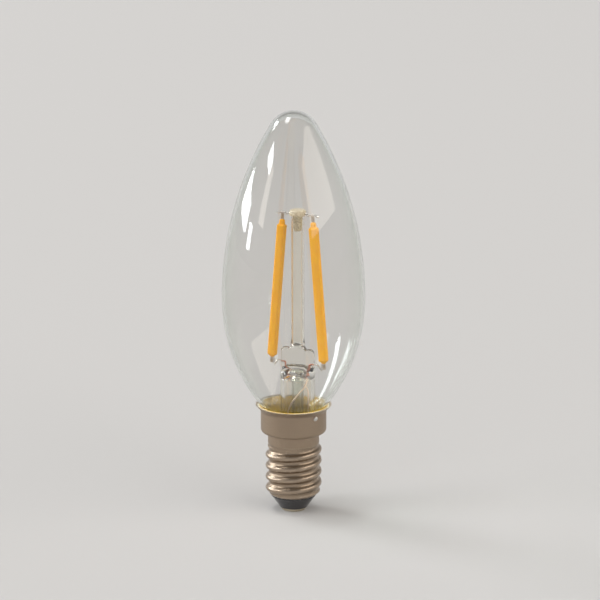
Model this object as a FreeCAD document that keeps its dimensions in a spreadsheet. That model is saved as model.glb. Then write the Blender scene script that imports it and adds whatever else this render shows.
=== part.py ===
"""Candle bulb with two LED filaments and a 14 mm round-thread screw cap.

The frame: millimetres, +Z up, origin at the centre of the contact face under the cap.
The filaments stand in the XZ plane. What the glass press holds is drawn in the mount frame,
whose axis is mount_shift along +X from the axis of the glass and the cap.
"""
import FreeCAD, Part
import math
import os

import Sketcher
from FreeCAD import Placement, Rotation, Vector

DRIVING = {
    "overall_height": (100.0, "tip of the glass above the contact face"),
    "globe_radius": (17.5, "largest radius of the glass"),
    "globe_height": (53.9, "height of the largest radius"),
    "neck_drop": (2.56, "how far below the lip's top the neck starts to widen"),
    "tip_radius": (6.4, "radius of the rounded tip"),
    "glass_wall": (0.65, "wall of the blown glass"),
    "neck_radius": (7.3, "outer radius of the glass neck"),
    "neck_curve": (4.0, "radius between neck and side"),
    "neck_bottom": (22.4, "lower end of the glass neck"),
    "mount_shift": (1.15, "how far the inner mount stands off the axis"),
    "flange_height": (0.9, "thickness of the flare's foot"),
    "flare_radius": (4.25, "outer radius of the flare tube"),
    "flare_wall": (1.0, "wall of the flare tube"),
    "flare_shoulder": (36.6, "height where the flare tube closes"),
    "shoulder_bend": (1.6, "rounding of the closed end"),
    "press_radius": (4.5, "reach of the press to each side"),
    "press_depth": (2.6, "thickness of the press between its lobes"),
    "press_top": (42.4, "top of the press"),
    "press_bend": (2.0, "rounding of the top of the press"),
    "lobe_radius": (1.25, "radius of the lobe round each sealed wire"),
    "lobe_top": (41.6, "top of the lobes"),
    "exhaust_radius": (1.5, "outer radius of the exhaust tube"),
    "exhaust_wall": (0.5, "wall of the exhaust tube"),
    "exhaust_tip": (15.5, "sealed lower tip of the exhaust tube"),
    "column_radius": (1.6, "outer radius of the column tube"),
    "column_wall": (0.35, "wall of the column tube"),
    "column_top": (74.5, "top of the column tube, where the button sits"),
    "button_radius": (2.05, "radius of the button"),
    "button_height": (1.5, "thickness of the button"),
    "shank_length": (3.8, "length of the button's shank"),
    "shank_tip": (0.95, "radius of the shank's lower end"),
    "button_round": (0.35, "rounding of the button's edges"),
    "bridge_radius": (0.225, "radius of the bridge wire"),
    "bridge_tail": (1.7, "how far the bridge wire passes each filament"),
    "bridge_sag": (0.4, "how far the bridge wire dips beside the filaments"),
    "filament_width": (2.3, "width of a filament"),
    "filament_depth": (1.75, "thickness of a filament"),
    "filament_round": (0.6, "rounding of a filament's long edges"),
    "filament_top": (72.0, "upper end of a filament's full width"),
    "filament_bottom": (38.9, "lower end of a filament's full width"),
    "spread_top": (4.32, "distance of the filament from the mount axis at its top"),
    "spread_bottom": (7.14, "distance of the filament from the mount axis at its bottom"),
    "coat_neck_width": (1.3, "width of the narrow ends of the coat"),
    "coat_neck_depth": (0.9, "thickness of the narrow ends of the coat"),
    "coat_neck_top": (1.3, "length of the narrow upper end"),
    "coat_neck_bottom": (0.5, "length of the narrow lower end"),
    "tab_width": (0.8, "width of a metal tab"),
    "tab_thick": (0.3, "thickness of a metal tab"),
    "tab_length_top": (1.5, "length of the upper tabs"),
    "tab_length_bottom": (1.4, "length of the lower tabs"),
    "wire_radius": (0.2, "radius of the leads"),
    "wire_bend": (0.5, "bend radius of the leads"),
    "seal_spread": (3.25, "distance of the sealed wires from the mount axis"),
    "seal_exit": (37.9, "height where the sealed wires leave the press"),
    "lead_drop": (0.5, "how far the lead dips below the filament's tab"),
    "lead_ring": (2.45, "distance of the outer leads from the mount axis"),
    "lead_joint": (34.6, "height where sealed wire and outer lead are joined"),
    "lead_straight": (0.9, "straight start of the outer leads below their joints"),
    "pad_start": (1.0, "how far below the board's upper edge its pads for the leads start"),
    "pad_end": (2.2, "how far below the board's upper edge those pads end"),
    "lead_rise": (1.4, "how far above its pad a lead bends to the board"),
    "seal_gap": (0.02, "clearance of what is fused, soldered or cemented"),
    "sheet_wall": (0.3, "wall of the cap's sheet metal"),
    "skirt_radius": (8.1, "outer radius of the skirt"),
    "skirt_bottom": (20.1, "lower end of the skirt"),
    "skirt_bend": (0.9, "rounding of the skirt's shoulder"),
    "lip_radius": (9.35, "radius of the flared lip"),
    "lip_start": (25.7, "height where the lip starts to flare"),
    "lip_top": (27.05, "top of the lip"),
    "waist_radius": (6.35, "outer radius between skirt and thread"),
    "waist_bottom": (17.2, "lower end of that stretch"),
    "thread_crest": (6.945, "outer radius of the thread"),
    "thread_root": (6.145, "root radius of the thread"),
    "thread_pitch": (2.822, "pitch, nine turns to the inch"),
    "thread_start": (3.957, "height of the crest where the helix begins"),
    "thread_turns": (4.5, "turns of the helix before its ends are trimmed"),
    "smooth_turns": (2.2, "turns at its ends that don't show inside the shell"),
    "shell_bottom": (4.1, "lower end of the cap shell"),
    "shell_mouth": (5.2, "radius of the shell's lower opening"),
    "shell_bend": (0.7, "rounding of the shell's lower edge"),
    "weld_angle": (20.5, "angle of the side solder behind the +X axis, in degrees"),
    "solder_drop": (0.7, "how far the side solder lies under the start of the lip"),
    "solder_radius": (0.65, "radius of the side solder"),
    "solder_hole": (0.45, "radius of the hole that the solder fills"),
    "solder_proud": (0.35, "how far the solder stands out"),
    "cement_bottom": (22.9, "lower edge of the basing cement"),
    "contact_radius": (3.0, "radius of the centre contact"),
    "contact_height": (0.8, "thickness of the centre contact"),
    "contact_round": (0.4, "rounding of the centre contact"),
    "rivet_radius": (0.9, "radius of the contact's rivet shank"),
    "rivet_top": (5.9, "top of the rivet shank"),
    "insulator_foot": (3.5, "radius of the insulator at the contact"),
    "insulator_shoulder": (5.6, "radius of the insulator under the shell"),
    "insulator_top": (5.4, "top of the insulator inside the shell"),
    "board_width": (9.6, "width of the driver board"),
    "board_thick": (1.0, "thickness of the driver board"),
    "board_bottom": (6.4, "lower edge of the driver board"),
    "board_top": (19.0, "upper edge of the driver board"),
    "board_face": (1.7, "distance of the board's front face behind the axis"),
    "capacitor_radius": (2.0, "radius of the smoothing capacitor"),
    "capacitor_length": (7.0, "length of the smoothing capacitor"),
    "capacitor_bottom": (7.6, "lower end of the smoothing capacitor"),
    "capacitor_side": (1.6, "distance of the capacitor to the left of the axis"),
    "pin_width": (0.4, "width of the capacitor's pins"),
    "resistor_radius": (1.0, "radius of the fusible resistor"),
    "resistor_length": (5.0, "length of the fusible resistor"),
    "resistor_bottom": (8.0, "lower end of the fusible resistor"),
    "resistor_side": (2.9, "distance of the resistor to the right of the axis"),
    "resistor_rise": (1.4, "how far above the resistor its upper lead bends to the board"),
    "neutral_inset": (0.6, "distance of the neutral pad from the board's side"),
    "neutral_drop": (3.4, "how far below the board's upper edge the neutral pad is"),
    "neutral_reach": (1.4, "how far the neutral wire stands off the board before it bends"),
    "rectifier_width": (4.7, "width of the bridge rectifier"),
    "rectifier_height": (3.9, "height of the bridge rectifier"),
    "rectifier_depth": (1.5, "thickness of the bridge rectifier"),
    "rectifier_bottom": (8.0, "lower edge of the bridge rectifier"),
    "chip_width": (4.9, "width of the driver chip"),
    "chip_height": (3.9, "height of the driver chip"),
    "chip_depth": (1.5, "thickness of the driver chip"),
    "chip_bottom": (13.4, "lower edge of the driver chip"),
}


class Size:
    """A length, with the sheet expression that gives it."""

    def __init__(self, value, text):
        self.value = float(value)
        self.text = text

    def __add__(self, other):
        other = as_size(other)
        return Size(self.value + other.value, f"({self.text} + {other.text})")

    def __sub__(self, other):
        other = as_size(other)
        return Size(self.value - other.value, f"({self.text} - {other.text})")

    def __mul__(self, other):
        other = as_size(other)
        return Size(self.value * other.value, f"({self.text} * {other.text})")

    def __truediv__(self, other):
        other = as_size(other)
        return Size(self.value / other.value, f"({self.text} / {other.text})")

    def __neg__(self):
        return Size(-self.value, f"(0 - {self.text})")

    __radd__ = __add__
    __rmul__ = __mul__


def as_size(value):
    """A plain number as a Size, and a Size as it is."""
    if isinstance(value, Size):
        return value
    return Size(value, repr(float(value)))


def square_root(size):
    return Size(math.sqrt(size.value), f"sqrt{size.text}")


document = FreeCAD.newDocument("CandleBulb")
sheet = document.addObject("Spreadsheet::Sheet", "Sizes")
for row, (alias, (number, meaning)) in enumerate(DRIVING.items(), start=1):
    sheet.set(f"A{row}", meaning)
    sheet.set(f"B{row}", str(number))
    sheet.setAlias(f"B{row}", alias)
document.recompute()


class SheetSizes:
    """The driving sizes by name, each as a Size that points at its cell."""

    def __getattr__(self, alias):
        return Size(getattr(sheet, alias), f"Sizes.{alias}")


s = SheetSizes()
ZERO = as_size(0)


# Drawing


def new_body(label):
    body = document.addObject("PartDesign::Body", label)
    body.Label = label
    return body


def put_at(body, x=None, y=None, z=None, axis=None, angle=None):
    """Bind a body's place, and its turn about an axis, to the sheet."""
    if axis is not None:
        body.Placement = Placement(Vector(0, 0, 0), Rotation(axis, angle.value))
        body.setExpression("Placement.Rotation.Angle", f"({angle.text}) * 1 deg")
    for direction, size in (("x", x), ("y", y), ("z", z)):
        if size is not None:
            body.setExpression(f"Placement.Base.{direction}", size.text)


def new_sketch(body, name, role, offset=None):
    """A sketch on one of the body's own planes, moved along its normal by the offset."""
    sketch = body.newObject("Sketcher::SketchObject", f"{body.Name}_{name}_sketch")
    plane = next(item for item in body.Origin.OriginFeatures if item.Role == role)
    sketch.AttachmentSupport = [(plane, "")]
    sketch.MapMode = "FlatFace"
    if offset is not None:
        sketch.setExpression("AttachmentOffset.Base.z", offset.text)
    return sketch


def bind(sketch, kind, size, *where):
    """Add a constraint whose value follows the sheet."""
    index = sketch.addConstraint(Sketcher.Constraint(kind, *where, size.value))
    sketch.setExpression(f"Constraints[{index}]", size.text)


def pin(sketch, geometry, end, across, up):
    """Fix a point of the sketch at its distances from the origin."""
    bind(sketch, "DistanceX", as_size(across), -1, 1, geometry, end)
    bind(sketch, "DistanceY", as_size(up), -1, 1, geometry, end)


def flat(across, up):
    return Vector(as_size(across).value, as_size(up).value, 0)


def add_arc(sketch, begin, middle, finish):
    """Draw an arc through three points: its number, and which of its ends is which."""
    arc = sketch.addGeometry(Part.Arc(begin, middle, finish), False)
    if sketch.getPoint(arc, 1).distanceToPoint(begin) < sketch.getPoint(arc, 2).distanceToPoint(begin):
        return arc, 1, 2
    return arc, 2, 1


def bend_ends(points, index, bend):
    """Where the arc of a corner begins, passes and ends."""
    here = points[index]
    back = (points[index - 1] - here).normalize()
    ahead = (points[(index + 1) % len(points)] - here).normalize()
    half = back.getAngle(ahead) / 2
    towards_centre = (back + ahead).normalize()
    centre = here + towards_centre * (bend / math.sin(half))
    reach = bend / math.tan(half)
    return here + back * reach, centre - towards_centre * bend, here + ahead * reach


def trace(sketch, corners, closed=True):
    """Draw straight runs from corner to corner, with a tangent arc where a corner has a bend."""
    points = [flat(*corner[:2]) for corner in corners]
    bends = [as_size(corner[2]) if len(corner) > 2 else None for corner in corners]
    ends = []
    for index, bend in enumerate(bends):
        here = points[index]
        ends.append(bend_ends(points, index, bend.value) if bend else (here, here, here))
    runs = len(points) if closed else len(points) - 1
    lines = []
    for index in range(runs):
        begin = ends[index][2]
        finish = ends[(index + 1) % len(points)][0]
        lines.append(sketch.addGeometry(Part.LineSegment(begin, finish), False))
    for index, bend in enumerate(bends):
        across, up = corners[index][:2]
        if not closed and index == 0:
            pin(sketch, lines[0], 1, across, up)
            continue
        before = lines[index - 1]
        if not closed and index == len(points) - 1:
            pin(sketch, before, 2, across, up)
            continue
        after = lines[index]
        if bend is None:
            sketch.addConstraint(Sketcher.Constraint("Coincident", before, 2, after, 1))
            pin(sketch, after, 1, across, up)
            continue
        arc, first, last = add_arc(sketch, *ends[index])
        corner = sketch.addGeometry(Part.Point(points[index]), True)
        sketch.addConstraint(Sketcher.Constraint("Tangent", before, 2, arc, first))
        sketch.addConstraint(Sketcher.Constraint("Tangent", arc, last, after, 1))
        sketch.addConstraint(Sketcher.Constraint("PointOnObject", corner, 1, before))
        sketch.addConstraint(Sketcher.Constraint("PointOnObject", corner, 1, after))
        bind(sketch, "Radius", bend, arc)
        pin(sketch, corner, 1, across, up)


def join(sketch, first, second):
    """Make two ends meet, each given as its curve and which end of it."""
    sketch.addConstraint(Sketcher.Constraint("Coincident", *first, *second))


def draw_outline(sketch, start, steps):
    """Draw a closed outline. A step is the point it reaches, and the centre of its arc if it is round."""
    reached = start
    opening = joined = None
    for target, *centre in steps:
        begin, finish = flat(*reached), flat(*target)
        if centre:
            hub = flat(*centre[0])
            towards_middle = (begin + finish - hub * 2).normalize()
            middle = hub + towards_middle * (begin - hub).Length
            curve, first, last = add_arc(sketch, begin, middle, finish)
            pin(sketch, curve, 3, *centre[0])
        else:
            curve, first, last = sketch.addGeometry(Part.LineSegment(begin, finish), False), 1, 2
        if joined is None:
            opening = (curve, first)
            pin(sketch, curve, first, *start)
        else:
            join(sketch, joined, (curve, first))
        joined = (curve, last)
        if target is start:
            join(sketch, joined, opening)
        elif not centre:
            pin(sketch, curve, last, *target)
        elif abs(finish.y - hub.y) > abs(finish.x - hub.x):
            bind(sketch, "DistanceX", as_size(target[0]), -1, 1, curve, last)
        else:
            bind(sketch, "DistanceY", as_size(target[1]), -1, 1, curve, last)
        reached = target


def add_feature(body, kind, name):
    return body.newObject(f"PartDesign::{kind}", f"{body.Name}_{name}")


def spin(body, name, sketch, axis="V_Axis", cut=False):
    """Turn a sketch about its own upright axis, or about a line drawn in it."""
    feature = add_feature(body, "Groove" if cut else "Revolution", name)
    feature.Profile = sketch
    feature.ReferenceAxis = (sketch, [axis])
    feature.Angle = 360
    return feature


def turn(body, name, corners, cut=False, axis_at=None):
    """Turn an outline in the XZ plane about the body's axis, or about a line beside it."""
    sketch = new_sketch(body, name, "XZ_Plane")
    trace(sketch, corners)
    axis = "V_Axis"
    if axis_at is not None:
        low = flat(axis_at, 0)
        line = sketch.addGeometry(Part.LineSegment(low, low + Vector(0, 1, 0)), True)
        sketch.addConstraint(Sketcher.Constraint("Vertical", line))
        pin(sketch, line, 1, axis_at, ZERO)
        bind(sketch, "DistanceY", as_size(1), -1, 1, line, 2)
        axis = "Axis0"
    return spin(body, name, sketch, axis, cut)


def extend(body, name, sketch, length, both_ways, cut):
    feature = add_feature(body, "Pocket" if cut else "Pad", name)
    feature.Profile = sketch
    feature.setExpression("Length", length.text)
    feature.Midplane = both_ways


def extrude(body, name, role, corners, length, both_ways=False, offset=None, cut=False):
    """Pad or cut a flat outline."""
    sketch = new_sketch(body, name, role, offset)
    trace(sketch, corners)
    extend(body, name, sketch, length, both_ways, cut)


def extrude_round(body, name, radius, up, length, both_ways=False, offset=None, cut=False):
    """Pad or cut a circle that faces along the body's own X axis."""
    sketch = new_sketch(body, name, "YZ_Plane", offset)
    add_circle(sketch, radius, ZERO, up)
    extend(body, name, sketch, length, both_ways, cut)


def add_circle(sketch, radius, across, up):
    circle = sketch.addGeometry(Part.Circle(flat(across, up), Vector(0, 0, 1), radius.value), False)
    bind(sketch, "Radius", radius, circle)
    pin(sketch, circle, 3, across, up)


def sweep(body, name, corners, radius, upward, cut=False):
    """Sweep a round section along a bent path in the XZ plane, which starts upward or sideways."""
    path = new_sketch(body, f"{name}_path", "XZ_Plane")
    trace(path, corners, closed=False)
    across, up = corners[0][:2]
    if upward:
        section = new_sketch(body, f"{name}_section", "XY_Plane", as_size(up))
        add_circle(section, radius, across, ZERO)
    else:
        section = new_sketch(body, f"{name}_section", "YZ_Plane", as_size(across))
        add_circle(section, radius, ZERO, up)
    document.recompute()
    feature = add_feature(body, "SubtractivePipe" if cut else "AdditivePipe", name)
    feature.Profile = section
    feature.Spine = (path, [f"Edge{number}" for number in range(1, len(path.Shape.Edges) + 1)])
    return feature


def repeat_opposite(body, name, original, upright_sketch):
    """Repeat a feature on the other side of the body's axis."""
    pattern = add_feature(body, "PolarPattern", name)
    pattern.Originals = [original]
    pattern.Axis = (upright_sketch, ["V_Axis"])
    pattern.Angle = 360
    pattern.Occurrences = 2
    body.Tip = pattern


def rounded_box(half_width, half_depth, bend):
    """The corners of a rectangle about the origin, each with its bend."""
    signs = ((-1, -1), (1, -1), (1, 1), (-1, 1))
    return [(half_width * x, half_depth * y, bend) for x, y in signs]


def rectangle(left, bottom, right, top):
    return [(left, bottom), (right, bottom), (right, top), (left, top)]


def round_edges(body, name, radius, chosen):
    """Round the edges whose every vertex the test picks."""
    document.recompute()
    base = body.Tip
    edges = []
    for number, edge in enumerate(base.Shape.Edges, start=1):
        if all(chosen(vertex.Point) for vertex in edge.Vertexes):
            edges.append(f"Edge{number}")
    feature = add_feature(body, "Fillet", name)
    feature.Base = (base, edges)
    feature.setExpression("Radius", radius.text)
    return feature


def route_wire(label, points, radius, at=ZERO, share_of_run=0.4):
    """A wire that is bent in space: straight runs joined by arcs, each taking a share of its run."""
    edges = []
    begin = points[0]
    for index in range(1, len(points) - 1):
        before = (points[index] - points[index - 1]).Length
        after = (points[index + 1] - points[index]).Length
        turn_angle = (points[index] - points[index - 1]).getAngle(points[index + 1] - points[index])
        bend = share_of_run * min(before, after) / math.tan(turn_angle / 2)
        first, middle, last = bend_ends(points, index, bend)
        edges.append(Part.LineSegment(begin, first).toShape())
        edges.append(Part.Arc(first, middle, last).toShape())
        begin = last
    edges.append(Part.LineSegment(begin, points[-1]).toShape())
    path = Part.Wire(edges)
    section = Part.Wire(Part.Circle(points[0], points[1] - points[0], radius.value).toShape())
    wire = document.addObject("Part::Feature", label)
    wire.Label = label
    wire.Shape = path.makePipeShell([section], True, False)
    wire.Placement = Placement(Vector(at.value, 0, 0), Rotation())
    expected = math.pi * radius.value ** 2 * path.Length
    if abs(wire.Shape.Volume - expected) > 0.02 * expected:
        raise RuntimeError(f"{label}: volume {wire.Shape.Volume:.3f}, expected {expected:.3f}")
    return wire


# Glass envelope


def side_hubs():
    """The centres of the arcs in the side of the glass, and the radii of the two long arcs."""
    tip_height = s.overall_height - s.tip_radius
    rise = tip_height - s.globe_height
    spare = s.globe_radius - s.tip_radius
    squares = rise * rise + s.globe_radius * s.globe_radius - s.tip_radius * s.tip_radius
    upper_curve = squares / (spare * 2)
    inward = s.globe_radius - s.neck_radius - s.neck_curve
    neck_height = s.lip_top - s.neck_drop
    drop = s.globe_height - neck_height
    squares = inward * inward + drop * drop - s.neck_curve * s.neck_curve
    lower_curve = squares / ((s.neck_curve + inward) * 2)
    return {
        "neck": (s.neck_radius + s.neck_curve, neck_height),
        "lower": (s.globe_radius - lower_curve, s.globe_height),
        "upper": (s.globe_radius - upper_curve, s.globe_height),
        "tip": (ZERO, tip_height),
    }, lower_curve, upper_curve


def between(near, far, share):
    """The point that lies a share of the way from one point to another."""
    return tuple(begin + (finish - begin) * share for begin, finish in zip(near, far))


def side_points(inset):
    """The points of the glass's side, set in by a wall, from the neck's end to the tip."""
    hubs, lower_curve, upper_curve = side_hubs()
    lower = lower_curve - inset
    tip = s.tip_radius - inset
    return [
        (s.neck_radius - inset, s.neck_bottom),
        (s.neck_radius - inset, hubs["neck"][1]),
        between(hubs["lower"], hubs["neck"], lower / (lower_curve + s.neck_curve)),
        (s.globe_radius - inset, s.globe_height),
        between(hubs["tip"], hubs["upper"], -tip / (upper_curve - s.tip_radius)),
        (ZERO, s.overall_height - inset),
    ]


def make_glass_envelope():
    body = new_body("glass_envelope")
    sketch = new_sketch(body, "wall", "XZ_Plane")
    hubs = list(side_hubs()[0].values())
    outer = side_points(ZERO)
    inner = side_points(s.glass_wall)[::-1]
    steps = [(outer[1],)]
    steps += list(zip(outer[2:], hubs))
    steps += [(inner[0],)]
    steps += list(zip(inner[1:-1], hubs[::-1]))
    steps += [(inner[-1],), (outer[0],)]
    draw_outline(sketch, outer[0], steps)
    spin(body, "wall", sketch)


# Glass stem


def seal_path():
    """The sealed wire on the right: up from the flare's bore, through a lobe and out at its side."""
    joint_rise = s.wire_bend * 2
    return [
        (s.lead_ring, s.lead_joint),
        (s.lead_ring, s.lead_joint + joint_rise, s.wire_bend),
        (s.seal_spread, s.seal_exit - joint_rise * 1.2, s.wire_bend),
        (s.seal_spread, s.seal_exit, s.wire_bend),
        (s.press_radius + s.seal_gap, s.seal_exit),
    ]


def bore_top():
    return s.flare_shoulder - s.flare_wall * 1.3


def flange_bottom():
    return s.neck_bottom - s.flange_height


def make_stem_flare():
    body = new_body("stem_flare")
    put_at(body, x=s.mount_shift)
    foot = flange_bottom()
    shoulder = s.flare_shoulder
    turn(body, "tube", [
        (ZERO, foot),
        (s.flare_radius, foot),
        (s.flare_radius, shoulder, s.shoulder_bend),
        (ZERO, shoulder),
    ])
    glass_axis = -s.mount_shift
    flange = rectangle(glass_axis, foot, glass_axis + s.neck_radius, s.neck_bottom)
    turn(body, "flange", flange, axis_at=glass_axis)
    slab = s.seal_spread - s.lobe_radius + s.wire_radius * 2
    press_foot = shoulder - s.shoulder_bend
    extrude(body, "press", "XZ_Plane", [
        (-slab, press_foot),
        (slab, press_foot),
        (slab, s.press_top, s.press_bend),
        (-slab, s.press_top, s.press_bend),
    ], s.press_depth, both_ways=True)
    lobe_side = s.seal_spread + s.lobe_radius
    lobe = turn(body, "lobe", [
        (s.seal_spread, press_foot),
        (lobe_side, press_foot),
        (lobe_side, s.lobe_top, s.lobe_radius * 0.92),
        (s.seal_spread, s.lobe_top),
    ], axis_at=s.seal_spread)
    repeat_opposite(body, "lobes", lobe, lobe.Profile[0])
    bore = s.flare_radius - s.flare_wall
    turn(body, "bore", [
        (ZERO, foot),
        (bore, foot),
        (bore, bore_top(), s.shoulder_bend * 0.9),
        (ZERO, bore_top()),
    ], cut=True)
    way = sweep(body, "wire_way", seal_path(), s.wire_radius + s.seal_gap, upward=True, cut=True)
    repeat_opposite(body, "wire_ways", way, way.Spine[0])


def make_exhaust_tube():
    body = new_body("exhaust_tube")
    put_at(body, x=s.mount_shift)
    inner = s.exhaust_radius - s.exhaust_wall
    turn(body, "tube", [
        (ZERO, s.exhaust_tip),
        (s.exhaust_radius, s.exhaust_tip, s.exhaust_radius * 0.9),
        (s.exhaust_radius, bore_top()),
        (inner, bore_top()),
        (inner, s.exhaust_tip + s.exhaust_wall, inner * 0.9),
        (ZERO, s.exhaust_tip + s.exhaust_wall),
    ])


def make_column_tube():
    body = new_body("column_tube")
    put_at(body, x=s.mount_shift)
    inner = s.column_radius - s.column_wall
    turn(body, "tube", rectangle(inner, s.press_top, s.column_radius, s.column_top))


def bridge_height():
    """The bridge wire's height over the filaments' upper tabs, which it lies on."""
    return filament_spot(tab_reach_top(), s.tab_width / 2)[1] + s.bridge_radius + s.seal_gap


def make_column_button():
    body = new_body("column_button")
    put_at(body, x=s.mount_shift)
    shank = s.column_radius - s.column_wall - s.seal_gap * 2
    disc_top = s.column_top + s.button_height
    turn(body, "disc", [
        (ZERO, s.column_top - s.shank_length),
        (s.shank_tip, s.column_top - s.shank_length),
        (shank, s.column_top),
        (s.button_radius, s.column_top, s.button_round),
        (s.button_radius, disc_top, s.button_round),
        (ZERO, disc_top),
    ])
    hole = s.bridge_radius + s.seal_gap
    extrude_round(body, "wire_hole", hole, bridge_height(), s.button_radius * 3, both_ways=True, cut=True)


# Filaments and their wires


def lean():
    """How much a filament leans in for each millimetre of height."""
    return (s.spread_bottom - s.spread_top) / (s.filament_top - s.filament_bottom)


def filament_half():
    """Half the length of a filament's full width, along the filament."""
    return (s.filament_top - s.filament_bottom) / 2 * square_root(lean() * lean() + 1)


def filament_spot(along, across):
    """A point of the right-hand filament, from its middle, in the mount frame."""
    length = square_root(lean() * lean() + 1)
    x = (s.spread_top + s.spread_bottom) / 2 - along * lean() / length + across / length
    z = (s.filament_top + s.filament_bottom) / 2 + along / length + across * lean() / length
    return x, z


def tab_reach_top():
    return filament_half() + s.coat_neck_top + s.tab_length_top


def tab_reach_bottom():
    return filament_half() + s.coat_neck_bottom + s.tab_length_bottom


def place_on_filament(body, side):
    """Stand a body that is drawn along its own Z axis where the filament of that side leans."""
    angle = Size(math.degrees(math.atan(lean().value)), f"atan{lean().text} / 1 deg")
    x, z = filament_spot(ZERO, ZERO)
    put_at(body, x=s.mount_shift + x * side, z=z, axis=Vector(0, -side, 0), angle=angle)


def make_filament(name, side):
    body = new_body(f"filament_{name}")
    place_on_filament(body, side)
    half = filament_half()
    main = rounded_box(s.filament_width / 2, s.filament_depth / 2, s.filament_round)
    extrude(body, "coat", "XY_Plane", main, half * 2, both_ways=True)
    end_round = s.filament_round * 0.75
    round_edges(body, "ends", end_round, lambda point: abs(abs(point.z) - half.value) < 1e-6)
    neck = rounded_box(s.coat_neck_width / 2, s.coat_neck_depth / 2, s.coat_neck_depth * 0.4)
    extrude(body, "neck_top", "XY_Plane", neck, s.coat_neck_top, offset=half)
    extrude(body, "neck_bottom", "XY_Plane", neck, s.coat_neck_bottom, offset=-half - s.coat_neck_bottom)


def make_filament_tab(name, side, end):
    body = new_body(f"filament_tab_{name}_{end}")
    place_on_filament(body, side)
    half_width = s.tab_width / 2
    half_thick = s.tab_thick / 2
    outline = rectangle(-half_width, -half_thick, half_width, half_thick)
    if end == "top":
        start, length = filament_half() + s.coat_neck_top, s.tab_length_top
    else:
        start, length = -tab_reach_bottom(), s.tab_length_bottom
    extrude(body, "strip", "XY_Plane", outline, length, offset=start)


def make_bridge_wire():
    body = new_body("bridge_wire")
    put_at(body, x=s.mount_shift)
    crest = bridge_height()
    dip = crest - s.bridge_sag
    tab_x = filament_spot(tab_reach_top(), ZERO)[0]
    bend = s.bridge_radius * 1.6
    rise = s.bridge_sag
    half = [
        (tab_x + s.bridge_tail, dip),
        (tab_x + s.tab_width + rise, dip, bend),
        (tab_x + s.tab_width * 0.6, crest, bend),
        (tab_x - s.tab_width * 0.6, crest, bend),
        (tab_x - s.tab_width - rise, dip, bend),
        (s.button_radius + s.bridge_radius, crest, bend),
    ]
    left = [(-across, up, *bends) for across, up, *bends in half]
    sweep(body, "wire", left + half[::-1], s.bridge_radius, upward=False)


def make_seal_wire(name, turned):
    body = new_body(f"seal_wire_{name}")
    put_at(body, x=s.mount_shift, axis=Vector(0, 0, 1), angle=as_size(turned))
    sweep(body, "wire", seal_path(), s.wire_radius, upward=True)


def make_lead_wire(name, turned):
    body = new_body(f"lead_wire_{name}")
    put_at(body, x=s.mount_shift, axis=Vector(0, 0, 1), angle=as_size(turned))
    beside_tab = -(s.tab_width / 2 + s.wire_radius + s.seal_gap)
    tab_start = filament_half() + s.coat_neck_bottom
    low = filament_spot(-(tab_reach_bottom() + s.lead_drop), beside_tab)
    weld = filament_spot(-(tab_start + s.wire_radius), beside_tab)
    sweep(body, "wire", [
        (s.press_radius + s.seal_gap, s.seal_exit),
        (s.press_radius + s.wire_bend * 2, s.seal_exit, s.wire_bend),
        (*low, s.wire_bend * 0.6),
        weld,
    ], s.wire_radius, upward=False)


def board_contact():
    """How far behind the axis a wire lies that touches the board's front face."""
    return s.board_face.value - s.wire_radius.value - s.seal_gap.value


def make_outer_leads():
    """One lead crosses in front of the exhaust tube, the other behind it."""
    ring = s.lead_ring.value
    joint = s.lead_joint.value
    straight = joint - s.lead_straight.value
    foot = flange_bottom().value
    drop = straight - foot
    pad_top = s.board_top.value - s.pad_start.value
    pad_low = s.board_top.value - s.pad_end.value
    face = board_contact()
    route_wire("outer_lead_right", [
        Vector(ring, 0, joint),
        Vector(ring, 0, straight),
        Vector(ring * 0.96, -ring * 0.4, straight - drop * 0.12),
        Vector(ring * 0.1, -ring, straight - drop * 0.37),
        Vector(-ring * 0.7, -ring * 0.78, straight - drop * 0.63),
        Vector(-ring * 1.05, -ring * 0.2, straight - drop * 0.95),
        Vector(-ring * 1.25, face * 0.6, pad_top + s.lead_rise.value),
        Vector(-ring * 1.25, face, pad_top),
        Vector(-ring * 1.25, face, pad_low),
    ], s.wire_radius, at=s.mount_shift)
    route_wire("outer_lead_left", [
        Vector(-ring, 0, joint),
        Vector(-ring, 0, straight),
        Vector(-ring * 0.7, ring * 0.75, straight - drop * 0.08),
        Vector(ring * 0.25, ring, straight - drop * 0.15),
        Vector(ring * 0.96, ring * 0.45, straight - drop * 0.22),
        Vector(ring * 1.03, ring * 0.3, straight - drop * 0.45),
        Vector(ring, ring * 0.4, foot),
        Vector(ring, face, pad_top),
        Vector(ring, face, pad_low),
    ], s.wire_radius, at=s.mount_shift)


# Cap


def solder_height():
    return s.lip_start - s.solder_drop


def turn_to_weld(body):
    """Turn a body so that its own +X faces the side solder."""
    put_at(body, axis=Vector(0, 0, -1), angle=s.weld_angle)


def shell_outline(inset):
    """The cap's outline from its lower mouth to the lip, set in by a wall."""
    floor = s.shell_bottom + inset
    return [
        (s.shell_mouth, floor),
        (s.thread_root - inset, floor, s.shell_bend - inset),
        (s.thread_root - inset, s.waist_bottom - inset * 2),
        (s.waist_radius - inset, s.waist_bottom + inset),
        (s.waist_radius - inset, s.skirt_bottom + inset),
        (s.skirt_radius - inset, s.skirt_bottom + inset, s.skirt_bend - inset),
        (s.skirt_radius - inset, s.lip_start),
        (s.lip_radius - inset, s.lip_top),
    ]


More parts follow.
